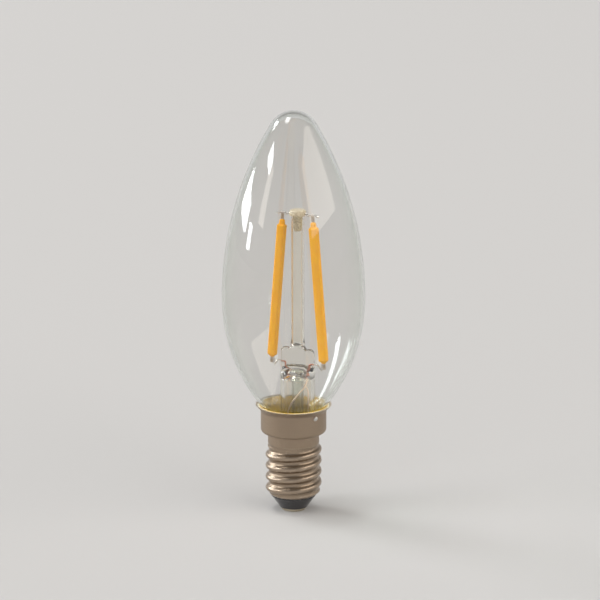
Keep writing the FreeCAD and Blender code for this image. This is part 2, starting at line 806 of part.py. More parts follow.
def thread_section(sketch, inset, start, deepest):
    """The round crest of the thread with half the hollow on each side, closed at the deepest radius."""
    depth = s.thread_crest - s.thread_root
    half_pitch = s.thread_pitch / 2
    bow = (half_pitch * half_pitch + depth * depth) / (depth * 4)
    root_bow = bow + inset
    crest_hub = (s.thread_crest - bow, start)
    low_hub = (s.thread_root + bow, start - half_pitch)
    high_hub = (s.thread_root + bow, start + half_pitch)
    crest_share = (bow - inset) / (bow * 2)
    foot_x = s.thread_root - inset + s.seal_gap
    to_foot = low_hub[0] - foot_x
    foot_rise = half_pitch - square_root(root_bow * root_bow - to_foot * to_foot)
    low_foot = (foot_x, start - foot_rise)
    high_foot = (foot_x, start + foot_rise)
    draw_outline(sketch, low_foot, [
        (between(crest_hub, low_hub, crest_share), low_hub),
        (between(crest_hub, high_hub, crest_share), crest_hub),
        (high_foot, high_hub),
        ((deepest, start + foot_rise),),
        ((deepest, start - foot_rise),),
        (low_foot,),
    ])


def add_thread(body, name, inset, start, turns, deepest, cut):
    """Sweep the thread's section up a right-hand helix."""
    sketch = new_sketch(body, name, "XZ_Plane")
    thread_section(sketch, inset, start, deepest)
    feature = add_feature(body, "SubtractiveHelix" if cut else "AdditiveHelix", name)
    feature.Profile = sketch
    feature.ReferenceAxis = (sketch, ["V_Axis"])
    feature.Mode = 0
    feature.setExpression("Pitch", s.thread_pitch.text)
    feature.setExpression("Height", (s.thread_pitch * turns).text)
    feature.Angle = 0
    feature.LeftHanded = False


def make_cap_shell():
    body = new_body("cap_shell")
    turn_to_weld(body)
    turn(body, "blank", [(ZERO, s.shell_bottom)] + shell_outline(ZERO) + [(ZERO, s.lip_top)])
    embedded = s.thread_root - s.sheet_wall / 2
    add_thread(body, "thread", ZERO, s.thread_start, s.thread_turns, embedded, cut=False)
    beyond = s.thread_crest + s.sheet_wall
    under = s.shell_bottom - s.thread_pitch
    turn(body, "lower_trim", [
        (s.shell_mouth, under),
        (beyond, under),
        (beyond, s.shell_bottom + s.thread_pitch),
        (s.thread_root, s.shell_bottom + s.shell_bend),
        (s.thread_root, s.shell_bottom + s.shell_bend / 2),
        (s.thread_root - s.shell_bend, s.shell_bottom),
        (s.shell_mouth, s.shell_bottom),
    ], cut=True)
    turn(body, "upper_trim", [
        (s.waist_radius, s.waist_bottom),
        (s.waist_radius, s.waist_bottom - s.sheet_wall),
        (beyond, s.waist_bottom - s.thread_pitch * 0.8),
        (beyond, s.waist_bottom),
    ], cut=True)
    mouth = [(ZERO, s.shell_bottom - s.sheet_wall), (s.shell_mouth, s.shell_bottom - s.sheet_wall)]
    turn(body, "hollow", mouth + shell_outline(s.sheet_wall) + [(ZERO, s.lip_top)], cut=True)
    inner_start = s.thread_start + s.thread_pitch
    inner_turns = s.thread_turns - s.smooth_turns
    deepest = s.thread_root - s.sheet_wall * 2
    add_thread(body, "inner_thread", s.sheet_wall, inner_start, inner_turns, deepest, cut=True)
    outside = s.skirt_radius + s.sheet_wall
    through = s.skirt_radius
    extrude_round(body, "solder_hole", s.solder_hole, solder_height(), through, offset=outside, cut=True)


def make_side_solder():
    """A plug in the skirt's hole, with a low bead outside."""
    body = new_body("side_solder")
    turn_to_weld(body)
    inner = s.skirt_radius - s.sheet_wall - s.seal_gap
    outer = s.skirt_radius + s.seal_gap
    plug = s.solder_hole - s.seal_gap
    extrude_round(body, "plug", plug, solder_height(), outer + s.solder_proud - inner, offset=inner)
    extrude_round(body, "bead", s.solder_radius, solder_height(), s.solder_proud, offset=outer)
    front = (outer + s.solder_proud).value
    round_edges(body, "dome", s.solder_proud * 0.8, lambda point: abs(point.x - front) < 1e-6)


def make_basing_cement():
    """The ring between neck and skirt, up to the lip, with a slot for the neutral wire."""
    body = new_body("basing_cement")
    turn_to_weld(body)
    skirt_inside = s.skirt_radius - s.sheet_wall - s.seal_gap
    lip_inside = s.lip_radius - s.sheet_wall - s.seal_gap
    neck_outside = s.neck_radius + s.seal_gap
    turn(body, "ring", [
        (neck_outside, s.cement_bottom),
        (skirt_inside, s.cement_bottom),
        (skirt_inside, s.lip_start),
        (lip_inside, s.lip_top),
        (neck_outside, s.lip_top),
    ])
    neck_hub = side_hubs()[0]["neck"]
    seat_bend = s.neck_curve - s.seal_gap
    over = s.lip_top + s.sheet_wall
    height = over - neck_hub[1]
    begin = (neck_outside, neck_hub[1])
    upper = (neck_hub[0] - square_root(seat_bend * seat_bend - height * height), over)
    sketch = new_sketch(body, "glass_seat", "XZ_Plane")
    draw_outline(sketch, begin, [
        (upper, neck_hub),
        ((s.neck_radius / 2, over),),
        ((s.neck_radius / 2, neck_hub[1]),),
        (begin,),
    ])
    spin(body, "glass_seat", sketch, cut=True)
    slot_half = s.wire_radius + s.seal_gap
    slot = rectangle(neck_outside - s.wire_radius, -slot_half, skirt_inside + s.wire_radius, slot_half)
    slot_top = solder_height() + s.wire_radius + s.seal_gap
    slot_length = slot_top - s.cement_bottom
    extrude(body, "wire_slot", "XY_Plane", slot, slot_length, offset=slot_top, cut=True)


def make_cap_insulator():
    body = new_body("cap_insulator")
    seat = s.shell_bottom - s.seal_gap
    inside = s.shell_bottom + s.sheet_wall + s.seal_gap
    neck = s.shell_mouth - s.seal_gap
    bore = s.rivet_radius + s.seal_gap
    flange = s.thread_root - s.sheet_wall - s.seal_gap * 2
    turn(body, "glass", [
        (bore, s.contact_height),
        (s.insulator_foot, s.contact_height),
        (s.insulator_shoulder, seat - s.sheet_wall),
        (s.insulator_shoulder, seat),
        (neck, seat),
        (neck, inside),
        (s.shell_mouth + s.seal_gap, inside),
        (flange, inside + s.shell_bend),
        (flange, s.insulator_top),
        (bore, s.insulator_top),
    ])


def make_centre_contact():
    body = new_body("centre_contact")
    turn(body, "rivet", [
        (ZERO, ZERO),
        (s.contact_radius, ZERO, s.contact_round),
        (s.contact_radius, s.contact_height),
        (s.rivet_radius, s.contact_height),
        (s.rivet_radius, s.rivet_top),
        (ZERO, s.rivet_top),
    ])


# Driver inside the cap


def make_driver_board():
    body = new_body("driver_board")
    half = s.board_width / 2
    outline = rectangle(-half, s.board_bottom, half, s.board_top)
    extrude(body, "plate", "XZ_Plane", outline, s.board_thick)
    put_at(body, y=s.board_face + s.board_thick)


def make_chip(label, width, bottom, height, depth):
    """A flat package on the back of the board."""
    body = new_body(label)
    half = width / 2
    extrude(body, "package", "XZ_Plane", rectangle(-half, bottom, half, bottom + height), depth)
    put_at(body, y=s.board_face + s.board_thick + depth)


def make_smoothing_capacitor():
    """The can stands on its two bent pins, which go into the board."""
    body = new_body("smoothing_capacitor")
    bottom = s.capacitor_bottom
    top = bottom + s.capacitor_length
    crimp = s.capacitor_radius * 0.92
    crimp_height = bottom + s.capacitor_length * 0.14
    edge = s.capacitor_radius * 0.12
    turn(body, "can", [
        (ZERO, bottom),
        (s.capacitor_radius, bottom, edge),
        (s.capacitor_radius, crimp_height - edge),
        (crimp, crimp_height),
        (s.capacitor_radius, crimp_height + edge),
        (s.capacitor_radius, top, edge),
        (ZERO, top),
    ])
    pin_half = s.pin_width / 2
    spacing = s.capacitor_radius / 2
    to_board = s.capacitor_radius + s.seal_gap
    pin_length = s.pin_width * 2
    for name, side in (("left", -1), ("right", 1)):
        left = spacing * side - pin_half
        right = spacing * side + pin_half
        leg = rectangle(left, -pin_half, right, pin_half)
        extrude(body, f"leg_{name}", "XY_Plane", leg, pin_length, offset=bottom - pin_length)
        foot = rectangle(left, -pin_half, right, to_board)
        extrude(body, f"foot_{name}", "XY_Plane", foot, s.pin_width, offset=bottom - pin_length)
    put_at(body, x=-s.capacitor_side, y=s.board_face - to_board)


def make_fusible_resistor():
    body = new_body("fusible_resistor")
    top = s.resistor_bottom + s.resistor_length
    edge = s.resistor_radius * 0.4
    turn(body, "barrel", [
        (ZERO, s.resistor_bottom),
        (s.resistor_radius, s.resistor_bottom, edge),
        (s.resistor_radius, top, edge),
        (ZERO, top),
    ])
    put_at(body, x=s.resistor_side)


def make_driver_wires():
    """Contact to resistor, resistor to board, and board to the side solder."""
    body = new_body("live_wire")
    halfway = (s.rivet_top + s.resistor_bottom) / 2
    sweep(body, "wire", [
        (ZERO, s.rivet_top),
        (ZERO, halfway, s.wire_bend),
        (s.resistor_side, halfway, s.wire_bend),
        (s.resistor_side, s.resistor_bottom),
    ], s.wire_radius, upward=True)
    side = s.resistor_side.value
    top = s.resistor_bottom.value + s.resistor_length.value
    route_wire("resistor_lead", [
        Vector(side, 0, top),
        Vector(side, 0, top + s.resistor_rise.value),
        Vector(side, s.board_face.value, top + s.resistor_rise.value),
    ], s.wire_radius)
    angle = math.radians(-s.weld_angle.value)
    seat = s.skirt_radius.value - s.sheet_wall.value - s.seal_gap.value * 2 - s.wire_radius.value
    ring = Vector(seat * math.cos(angle), seat * math.sin(angle), 0)
    start_x = s.board_width.value / 2 - s.neutral_inset.value
    start_z = s.board_top.value - s.neutral_drop.value
    under_flange = (flange_bottom().value + s.skirt_bottom.value + s.sheet_wall.value) / 2
    route_wire("neutral_wire", [
        Vector(start_x, s.board_face.value, start_z),
        Vector(start_x, s.board_face.value - s.neutral_reach.value, start_z),
        ring * 0.6 + Vector(0, 0, start_z * 0.4 + under_flange * 0.6),
        ring * 0.75 + Vector(0, 0, under_flange),
        ring + Vector(0, 0, under_flange),
        ring + Vector(0, 0, solder_height().value),
    ], s.wire_radius, share_of_run=0.3)


def make_bulb():
    make_glass_envelope()
    make_stem_flare()
    make_exhaust_tube()
    make_column_tube()
    make_column_button()
    make_bridge_wire()
    for name, side, turned in (("right", 1, 0), ("left", -1, 180)):
        make_filament(name, side)
        make_filament_tab(name, side, "top")
        make_filament_tab(name, side, "bottom")
        make_seal_wire(name, turned)
        make_lead_wire(name, turned)
    make_outer_leads()
    make_cap_shell()
    make_side_solder()
    make_basing_cement()
    make_cap_insulator()
    make_centre_contact()
    make_driver_board()
    rectifier = (s.rectifier_width, s.rectifier_bottom, s.rectifier_height, s.rectifier_depth)
    make_chip("bridge_rectifier", *rectifier)
    make_chip("driver_ic", s.chip_width, s.chip_bottom, s.chip_height, s.chip_depth)
    make_smoothing_capacitor()
    make_fusible_resistor()
    make_driver_wires()
    document.recompute()


def sub_parts():
    """Every piece of the bulb: the bodies, and the wires that are bent in space."""
    return [item for item in document.Objects if item.TypeId in ("PartDesign::Body", "Part::Feature")]


def check():
    """Stop if any feature failed or any piece isn't one valid solid."""
    for item in document.Objects:
        if "Invalid" in item.State or "Error" in item.State:
            raise RuntimeError(f"{item.Name}: {item.State}")
    for piece in sub_parts():
        shape = piece.Shape
        if shape.isNull() or not shape.isValid() or len(shape.Solids) != 1:
            raise RuntimeError(f"{piece.Label}: not one valid solid")


def write():
    os.makedirs("parts", exist_ok=True)
    for piece in sub_parts():
        piece.Shape.exportStep(f"parts/{piece.Label}.step")
        print(f"{piece.Label}: {piece.Shape.Volume:.2f} mm3")


make_bulb()
check()
write()
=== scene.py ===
"""Candle bulb with filament sticks on a glass stem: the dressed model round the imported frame.

Lengths in the classes are in millimetres, in the CAD model's frame: Z up from the centre contact.
"""

import logging
import math
from collections.abc import Callable, Sequence
from dataclasses import dataclass, field
from enum import Enum

import bmesh
import bpy
import numpy as np
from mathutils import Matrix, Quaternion, Vector


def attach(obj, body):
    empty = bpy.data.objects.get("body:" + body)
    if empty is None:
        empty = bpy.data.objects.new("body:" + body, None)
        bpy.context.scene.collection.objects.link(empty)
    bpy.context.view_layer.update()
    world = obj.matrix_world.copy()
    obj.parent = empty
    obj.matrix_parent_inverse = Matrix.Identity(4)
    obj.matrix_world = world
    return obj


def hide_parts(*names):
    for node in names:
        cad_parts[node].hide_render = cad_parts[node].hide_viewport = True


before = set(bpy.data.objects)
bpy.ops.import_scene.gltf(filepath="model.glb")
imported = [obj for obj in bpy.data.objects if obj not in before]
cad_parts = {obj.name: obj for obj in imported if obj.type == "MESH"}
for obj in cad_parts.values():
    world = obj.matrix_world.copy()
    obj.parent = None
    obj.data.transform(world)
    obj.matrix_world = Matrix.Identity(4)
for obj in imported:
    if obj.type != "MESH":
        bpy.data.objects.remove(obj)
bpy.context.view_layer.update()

MM = 0.001
TURN = 2 * math.pi
GLASS_IOR = 1.5
SIDES = (("right", 1), ("left", -1))

Colour = tuple[float, float, float]
Field = Callable[[np.ndarray], np.ndarray]
Outline = list[tuple[float, float]]
Socket = bpy.types.NodeSocket
Value = Socket | float

log = logging.getLogger("candle_bulb")


# Shapes


@dataclass
class Shell:
    """Points in millimetres and the faces between them."""

    points: np.ndarray
    faces: list[tuple[int, ...]]

    def joined(self, other: "Shell") -> "Shell":
        """This shell and another as one.

        Args:
            other: The shell that is added, with its points after this one's.

        Returns:
            Both in one shell.
        """
        first = len(self.points)
        shifted = [tuple(index + first for index in face) for face in other.faces]
        return Shell(np.vstack([self.points, other.points]), self.faces + shifted)


def skin(rows: Sequence[np.ndarray], closed: bool = False) -> Shell:
    """Lay faces between rows of points.

    Args:
        rows: Arrays of points, each a ring of equal length, or one point where the skin closes.
        closed: Whether the last row joins the first.

    Returns:
        The shell.
    """
    starts = np.cumsum([0] + [len(row) for row in rows])
    faces: list[tuple[int, ...]] = []
    pairs = [(index, index + 1) for index in range(len(rows) - 1)]
    if closed:
        pairs.append((len(rows) - 1, 0))
    for low, high in pairs:
        count = max(len(rows[low]), len(rows[high]))
        for step in range(count):
            after = (step + 1) % count
            corners = []
            for row, place in ((low, step), (low, after), (high, after), (high, step)):
                corner = int(starts[row]) + (place if len(rows[row]) > 1 else 0)
                if corner not in corners:
                    corners.append(corner)
            if len(corners) > 2:
                faces.append(tuple(corners))
    return Shell(np.vstack(rows), faces)


def rounded(corners: Sequence[tuple[float, ...]], step: float = 9.0) -> Outline:
    """Round an outline's corners.

    Args:
        corners: Each corner's two coordinates, with a bend radius where it has one.
        step: Degrees of bend between two points.

    Returns:
        The outline's points.
    """
    outline: Outline = [(corners[0][0], corners[0][1])]
    for before, corner, after in zip(corners, corners[1:], corners[2:]):
        spot = np.array(corner[:2])
        if len(corner) < 3:
            outline.append((spot[0], spot[1]))
            continue
        back = np.array(before[:2]) - spot
        ahead = np.array(after[:2]) - spot
        back /= np.linalg.norm(back)
        ahead /= np.linalg.norm(ahead)
        half = math.acos(float(np.clip(back @ ahead, -1, 1))) / 2
        reach = corner[2] / math.tan(half)
        hub = spot + (back + ahead) / np.linalg.norm(back + ahead) * corner[2] / math.sin(half)
        begin = spot + back * reach - hub
        finish = spot + ahead * reach - hub
        bend = math.pi - 2 * half
        count = max(2, round(math.degrees(bend) / step))
        for index in range(count + 1):
            share = index / count
            near = math.sin((1 - share) * bend) / math.sin(bend)
            far = math.sin(share * bend) / math.sin(bend)
            point = hub + begin * near + finish * far
            outline.append((float(point[0]), float(point[1])))
    outline.append((corners[-1][0], corners[-1][1]))
    return outline


def dense(outline: Outline, step: float) -> Outline:
    """Add points to an outline.

    Args:
        outline: The outline.
        step: The largest distance between two points.

    Returns:
        The finer outline.
    """
    finer: Outline = [outline[0]]
    for begin, finish in zip(outline, outline[1:]):
        count = max(1, math.ceil(math.dist(begin, finish) / step))
        for index in range(1, count + 1):
            share = index / count
            finer.append(tuple(a + (b - a) * share for a, b in zip(begin, finish)))
    return finer


def lathe(
    outline: Outline, steps: int, closed: bool = False, at: tuple[float, float] = (0, 0)
) -> Shell:
    """Turn an outline about an upright axis.

    Args:
        outline: Radius and height of each point.
        steps: Points in a full turn.
        closed: Whether the last point joins the first.
        at: Where the axis stands.

    Returns:
        The shell.
    """
    angles = np.arange(steps) / steps * TURN
    rows = []
    for radius, height in outline:
        if radius < 1e-6:
            rows.append(np.array([[at[0], at[1], height]]))
            continue
        across = at[0] + radius * np.cos(angles)
        deep = at[1] + radius * np.sin(angles)
        rows.append(np.column_stack([across, deep, np.full(steps, height)]))
    return skin(rows, closed)


def along(path: np.ndarray, sections: Sequence[Outline]) -> Shell:
    """Sweep flat sections along a path without twist.

    Args:
        path: Points of the path.
        sections: A closed section for each point, or one point where the sweep closes.

    Returns:
        The shell.
    """
    tangents = np.gradient(path, axis=0)
    tangents /= np.linalg.norm(tangents, axis=1)[:, None]
    side = np.cross(tangents[0], (0, 1, 0) if abs(tangents[0][1]) < 0.9 else (1, 0, 0))
    rows = []
    for spot, tangent, section in zip(path, tangents, sections):
        side = side - tangent * (side @ tangent)
        side /= np.linalg.norm(side)
        other = np.cross(tangent, side)
        flat = np.array(section)
        rows.append(spot + flat[:, :1] * side + flat[:, 1:] * other)
    return skin(rows)


def routed(
    corners: Sequence[Sequence[float]], bend: float = 0.5, share: float = 0.45, step: float = 0.6
) -> np.ndarray:
    """A smooth path through corners.

    Args:
        corners: The path's corners in space.
        bend: Largest length of run that a corner's curve takes on each side.
        share: Largest share of a run that it takes.
        step: Largest distance between two points.

    Returns:
        The path's points.
    """
    spots = [np.array(corner, dtype=float) for corner in corners]
    path = [spots[0]]
    for before, spot, after in zip(spots, spots[1:], spots[2:]):
        runs = (before - spot, after - spot)
        lengths = [np.linalg.norm(run) for run in runs]
        reach = min(bend, *(share * float(length) for length in lengths))
        begin, finish = (spot + run / length * reach for run, length in zip(runs, lengths))
        for index in range(9):
            part = index / 8
            curve = begin * (1 - part) ** 2 + spot * 2 * part * (1 - part)
            path.append(curve + finish * part ** 2)
    path.append(spots[-1])
    finer = [path[0]]
    for begin, finish in zip(path, path[1:]):
        gap = float(np.linalg.norm(finish - begin))
        if gap < 1e-6:
            continue
        count = max(1, math.ceil(gap / step))
        finer += [begin + (finish - begin) * index / count for index in range(1, count + 1)]
    return np.array(finer)


def wire(path: np.ndarray, radius: float, sides: int = 20) -> Shell:
    """A round wire with its ends just broken.

    Args:
        path: Points of its middle line.
        radius: Its radius.
        sides: Points round it.

    Returns:
        The shell.
    """
    first = path[1] - path[0]
    last = path[-1] - path[-2]
    first /= np.linalg.norm(first)
    last /= np.linalg.norm(last)
    broken = radius * 0.2
    nudge = 1e-4
    begin = [path[0] - first * nudge, path[0], path[0] + first * broken]
    finish = [path[-1] - last * broken, path[-1], path[-1] + last * nudge]
    spots = [*begin, *path[1:-1], *finish]
    radii = [0, radius - broken] + [radius] * (len(spots) - 4) + [radius - broken, 0]
    angles = np.arange(sides) / sides * TURN
    ring = np.column_stack([np.cos(angles), np.sin(angles)])
    sections = [ring * reach if reach else np.zeros((1, 2)) for reach in radii]
    return along(np.array(spots), sections)


# Distance fields, for glass that has flowed


def merged(first: np.ndarray, second: np.ndarray, blend: float) -> np.ndarray:
    """Two fields as one, with a fillet where they meet."""
    share = np.clip(0.5 + 0.5 * (second - first) / blend, 0, 1)
    return second * (1 - share) + first * share - blend * share * (1 - share)


def carved(first: np.ndarray, second: np.ndarray, blend: float) -> np.ndarray:
    """The first field without the second."""
    return -merged(-first, second, blend)


def cornered(first: np.ndarray, second: np.ndarray) -> np.ndarray:
    """What lies inside both fields, with true distances off their common edge."""
    off_edge = np.hypot(np.maximum(first, 0), np.maximum(second, 0))
    return np.minimum(np.maximum(first, second), 0) + off_edge


def drum(
    radii: np.ndarray, heights: np.ndarray, radius: float, low: float, high: float, bend: float
) -> np.ndarray:
    """The field of an upright cylinder with rounded edges.

    Args:
        radii: Distance of each point from its axis.
        heights: Height of each point.
        radius: Its radius.
        low: Its lower end.
        high: Its upper end.
        bend: Radius of its edges.

    Returns:
        Distances, below zero inside.
    """
    out = radii - (radius - bend)
    up = np.abs(heights - (low + high) / 2) - ((high - low) / 2 - bend)
    return cornered(out, up) - bend


def slopes(shape: Field, points: np.ndarray) -> np.ndarray:
    """The direction in which a field grows.

    Args:
        shape: The field.
        points: The points where it is measured.

    Returns:
        The growth at each point.
    """
    near = 2e-3
    growth = [shape(points + shift) - shape(points - shift) for shift in np.eye(3) * near]
    return np.column_stack(growth) / (2 * near)


def grown(
    shape: Field, low: Sequence[float], high: Sequence[float], step: float, relaxings: int = 6
) -> Shell:
    """Draw even faces over the zero level of a field.

    Args:
        shape: The field.
        low: Lower corner of the space that holds it.
        high: Upper corner of that space.
        step: Size of a face.
        relaxings: How often the points are evened out.

    Returns:
        The shell.
    """
    axes = [np.arange(start, stop + step, step) for start, stop in zip(low, high)]
    grid = np.stack(np.meshgrid(*axes, indexing="ij"), axis=-1)
    inside = shape(grid.reshape(-1, 3)).reshape(grid.shape[:3]) < 0
    total = inside.astype(int)
    for _ in range(3):
        total = np.moveaxis(total[:-1] + total[1:], 0, -1)
    cells = np.argwhere((total > 0) & (total < 8))
    numbers = np.full(total.shape, -1)
    numbers[tuple(cells.T)] = np.arange(len(cells))
    points = np.array(low) + (cells + 0.5) * step
    quads = []
    for axis in range(3):
        ahead = np.roll(inside, -1, axis)
        changes = np.argwhere(inside != ahead)
        others = [other for other in range(3) if other != axis]
        good = (changes[:, axis] < inside.shape[axis] - 1) & (changes[:, others] > 0).all(axis=1)
        changes = changes[good]
        rings = []
        for first, second in ((1, 1), (0, 1), (0, 0), (1, 0)):
            cell = changes.copy()
            cell[:, others[0]] -= first
            cell[:, others[1]] -= second
            rings.append(numbers[tuple(cell.T)])
        quads.append(np.column_stack(rings))
    faces = np.vstack(quads)
    edges = np.vstack([faces[:, [a, (a + 1) % 4]] for a in range(4)])
    edges = np.vstack([edges, edges[:, ::-1]])
    weights = np.bincount(edges[:, 0], minlength=len(points))[:, None]
    for turn in range(relaxings + 1):
        for _ in range(2):
            slope = slopes(shape, points)
            length = np.maximum((slope ** 2).sum(axis=1), 0.2)
            points = points - slope * (shape(points) / length)[:, None]
        if turn < relaxings:
            near = [np.bincount(edges[:, 0], way, len(points)) for way in points[edges[:, 1]].T]
            points = points * 0.4 + np.column_stack(near) / weights * 0.6
    return Shell(points, [tuple(map(int, face)) for face in faces])


def linked(name: str, data: bpy.types.ID) -> bpy.types.Object:
    """Put a new object in the scene.

    Args:
        name: Its name.
        data: Its mesh, lamp or camera.

    Returns:
        The object.
    """
    item = bpy.data.objects.new(name, data)
    bpy.context.scene.collection.objects.link(item)
    return item


def piece(
    name: str, shell: Shell, replaces: Sequence[str], sharp: float
) -> bpy.types.Object:
    """Make an object of a shell, and hide the CAD nodes that it is shown for.

    Args:
        name: The piece's name.
        shell: Its points and faces.
        replaces: The CAD nodes that it is shown for.
        sharp: Degrees between two faces from which their edge is sharp.

    Returns:
        The object.
    """
    mesh = bpy.data.meshes.new(name)
    mesh.from_pydata((shell.points * MM).tolist(), [], shell.faces)
    work = bmesh.new()
    work.from_mesh(mesh)
    bmesh.ops.remove_doubles(work, verts=work.verts, dist=1e-8)
    bmesh.ops.recalc_face_normals(work, faces=work.faces)
    work.to_mesh(mesh)
    work.free()
    mesh.polygons.foreach_set("use_smooth", [True] * len(mesh.polygons))
    mesh.set_sharp_from_angle(angle=math.radians(sharp))
    item = linked(name, mesh)
    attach(item, "root")
    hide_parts(*replaces)
    log.info("%s: %d points, %d faces", name, len(mesh.vertices), len(mesh.polygons))
    return item


def dress(item: bpy.types.Object, material: bpy.types.Material) -> None:
    """Give a piece its one material."""
    item.data.materials.clear()
    item.data.materials.append(material)


# Shader parts


class Graph:
    """A node tree that is built by name."""

    def __init__(self, tree: bpy.types.NodeTree) -> None:
        """Start on a tree, without its first nodes."""
        self.tree = tree
        tree.nodes.clear()

    def add(self, kind: str, values: dict | None = None, **settings: object) -> bpy.types.Node:
        """Add a node.

        Args:
            kind: The node's type, without ShaderNode.
            values: Plain values and links for its inputs, by name or number.
            settings: Its own settings.

        Returns:
            The node.
        """
        node = self.tree.nodes.new(kind if kind.startswith("Node") else f"ShaderNode{kind}")
        for name, value in settings.items():
            setattr(node, name, value)
        for name, value in (values or {}).items():
            socket = node.inputs[name]
            if isinstance(value, Socket):
                self.tree.links.new(value, socket)
            elif socket.type == "RGBA" and len(value) == 3:
                socket.default_value = (*value, 1.0)
            else:
                socket.default_value = value
        return node

    def send(self, outward: bpy.types.Node, **results: Socket) -> None:
        """Link results to a group's outputs, by name."""
        for label, result in results.items():
            self.tree.links.new(result, outward.inputs[label])

    def group(self, tree: bpy.types.NodeTree, **values: float) -> bpy.types.Node:
        """Put in a shared effect with its own values, named in small letters."""
        named = {label.capitalize(): value for label, value in values.items()}
        return self.add("Group", named, node_tree=tree)

    def noise(self, where: Socket, scale: Value, detail: float = 3.0) -> Socket:
        """A noise between 0 and 1."""
        values = {"Vector": where, "Scale": scale, "Detail": detail}
        return self.add("TexNoise", values).outputs["Fac"]

    def place(self) -> Socket:
        """The point on the piece, in metres."""
        return self.add("TexCoord").outputs["Object"]

    def part(self, vector: Socket, axis: str) -> Socket:
        """One coordinate of a vector."""
        return self.add("SeparateXYZ", {0: vector}).outputs[axis]

    def per(self, size: Socket) -> Socket:
        """The scale that gives a texture features of a size in millimetres."""
        return self.maths("DIVIDE", 1.0 / MM, size)

    def ranged(self, value: Socket, start: float, stop: float, low: float, high: float) -> Socket:
        """A value moved from one range to another, and held inside it.

        Args:
            value: The value.
            start: Where its range starts.
            stop: Where that range stops.
            low: What it becomes at the start.
            high: What it becomes at the stop.

        Returns:
            The new value.
        """
        names = ("Value", "From Min", "From Max", "To Min", "To Max")
        values = dict(zip(names, (value, start, stop, low, high)))
        return self.add("MapRange", values).outputs["Result"]

    def maths(self, kind: str, first: Value, second: Value, clamp: bool = False) -> Socket:
        """Two values through a Math node."""
        return self.add("Math", {0: first, 1: second}, operation=kind, use_clamp=clamp).outputs[0]

    def mix(self, share: Value, first: Socket | Colour, second: Socket | Colour) -> Socket:
        """Two colours mixed by a share."""
        return self.add("Mix", {0: share, 6: first, 7: second}, data_type="RGBA").outputs[2]

    def bump(self, height: Socket, distance: float) -> Socket:
        """A normal from a height, with its depth in millimetres."""
        return self.add("Bump", {"Height": height, "Distance": distance * MM}).outputs["Normal"]

    def surface(self, values: dict) -> Socket:
        """A principled shader."""
        return self.add("BsdfPrincipled", values).outputs["BSDF"]

    def clear(self, tint: Socket | Colour) -> Socket:
        """A shader that is seen straight through."""
        return self.add("BsdfTransparent", {"Color": tint}).outputs["BSDF"]

    def either(self, share: Socket, first: Socket, second: Socket) -> Socket:
        """Two shaders mixed by a share."""
        return self.add("MixShader", {0: share, 1: first, 2: second}).outputs[0]

    def lit_through(self, glass: Socket, tint: Colour) -> Socket:
        """A glass that lamps pass with a tint, so that what it holds stays lit."""
        return self.either(self.add("LightPath").outputs["Is Shadow Ray"], glass, self.clear(tint))


def effect(
    name: str, inputs: dict[str, float], outputs: Sequence[str]
) -> tuple[bpy.types.NodeTree, Graph, bpy.types.Node, bpy.types.Node]:
    """Start a node group.

    Args:
        name: The group's name.
        inputs: Its number inputs with their usual values.
        outputs: Its number outputs.

    Returns:
        The group, its graph, and the nodes of its inputs and outputs.
    """
    tree = bpy.data.node_groups.new(name, "ShaderNodeTree")
    kind = "NodeSocketFloat"
    for label, value in inputs.items():
        tree.interface.new_socket(label, in_out="INPUT", socket_type=kind).default_value = value
    for label in outputs:
        tree.interface.new_socket(label, in_out="OUTPUT", socket_type=kind)
    graph = Graph(tree)
    return tree, graph, graph.add("NodeGroupInput"), graph.add("NodeGroupOutput")


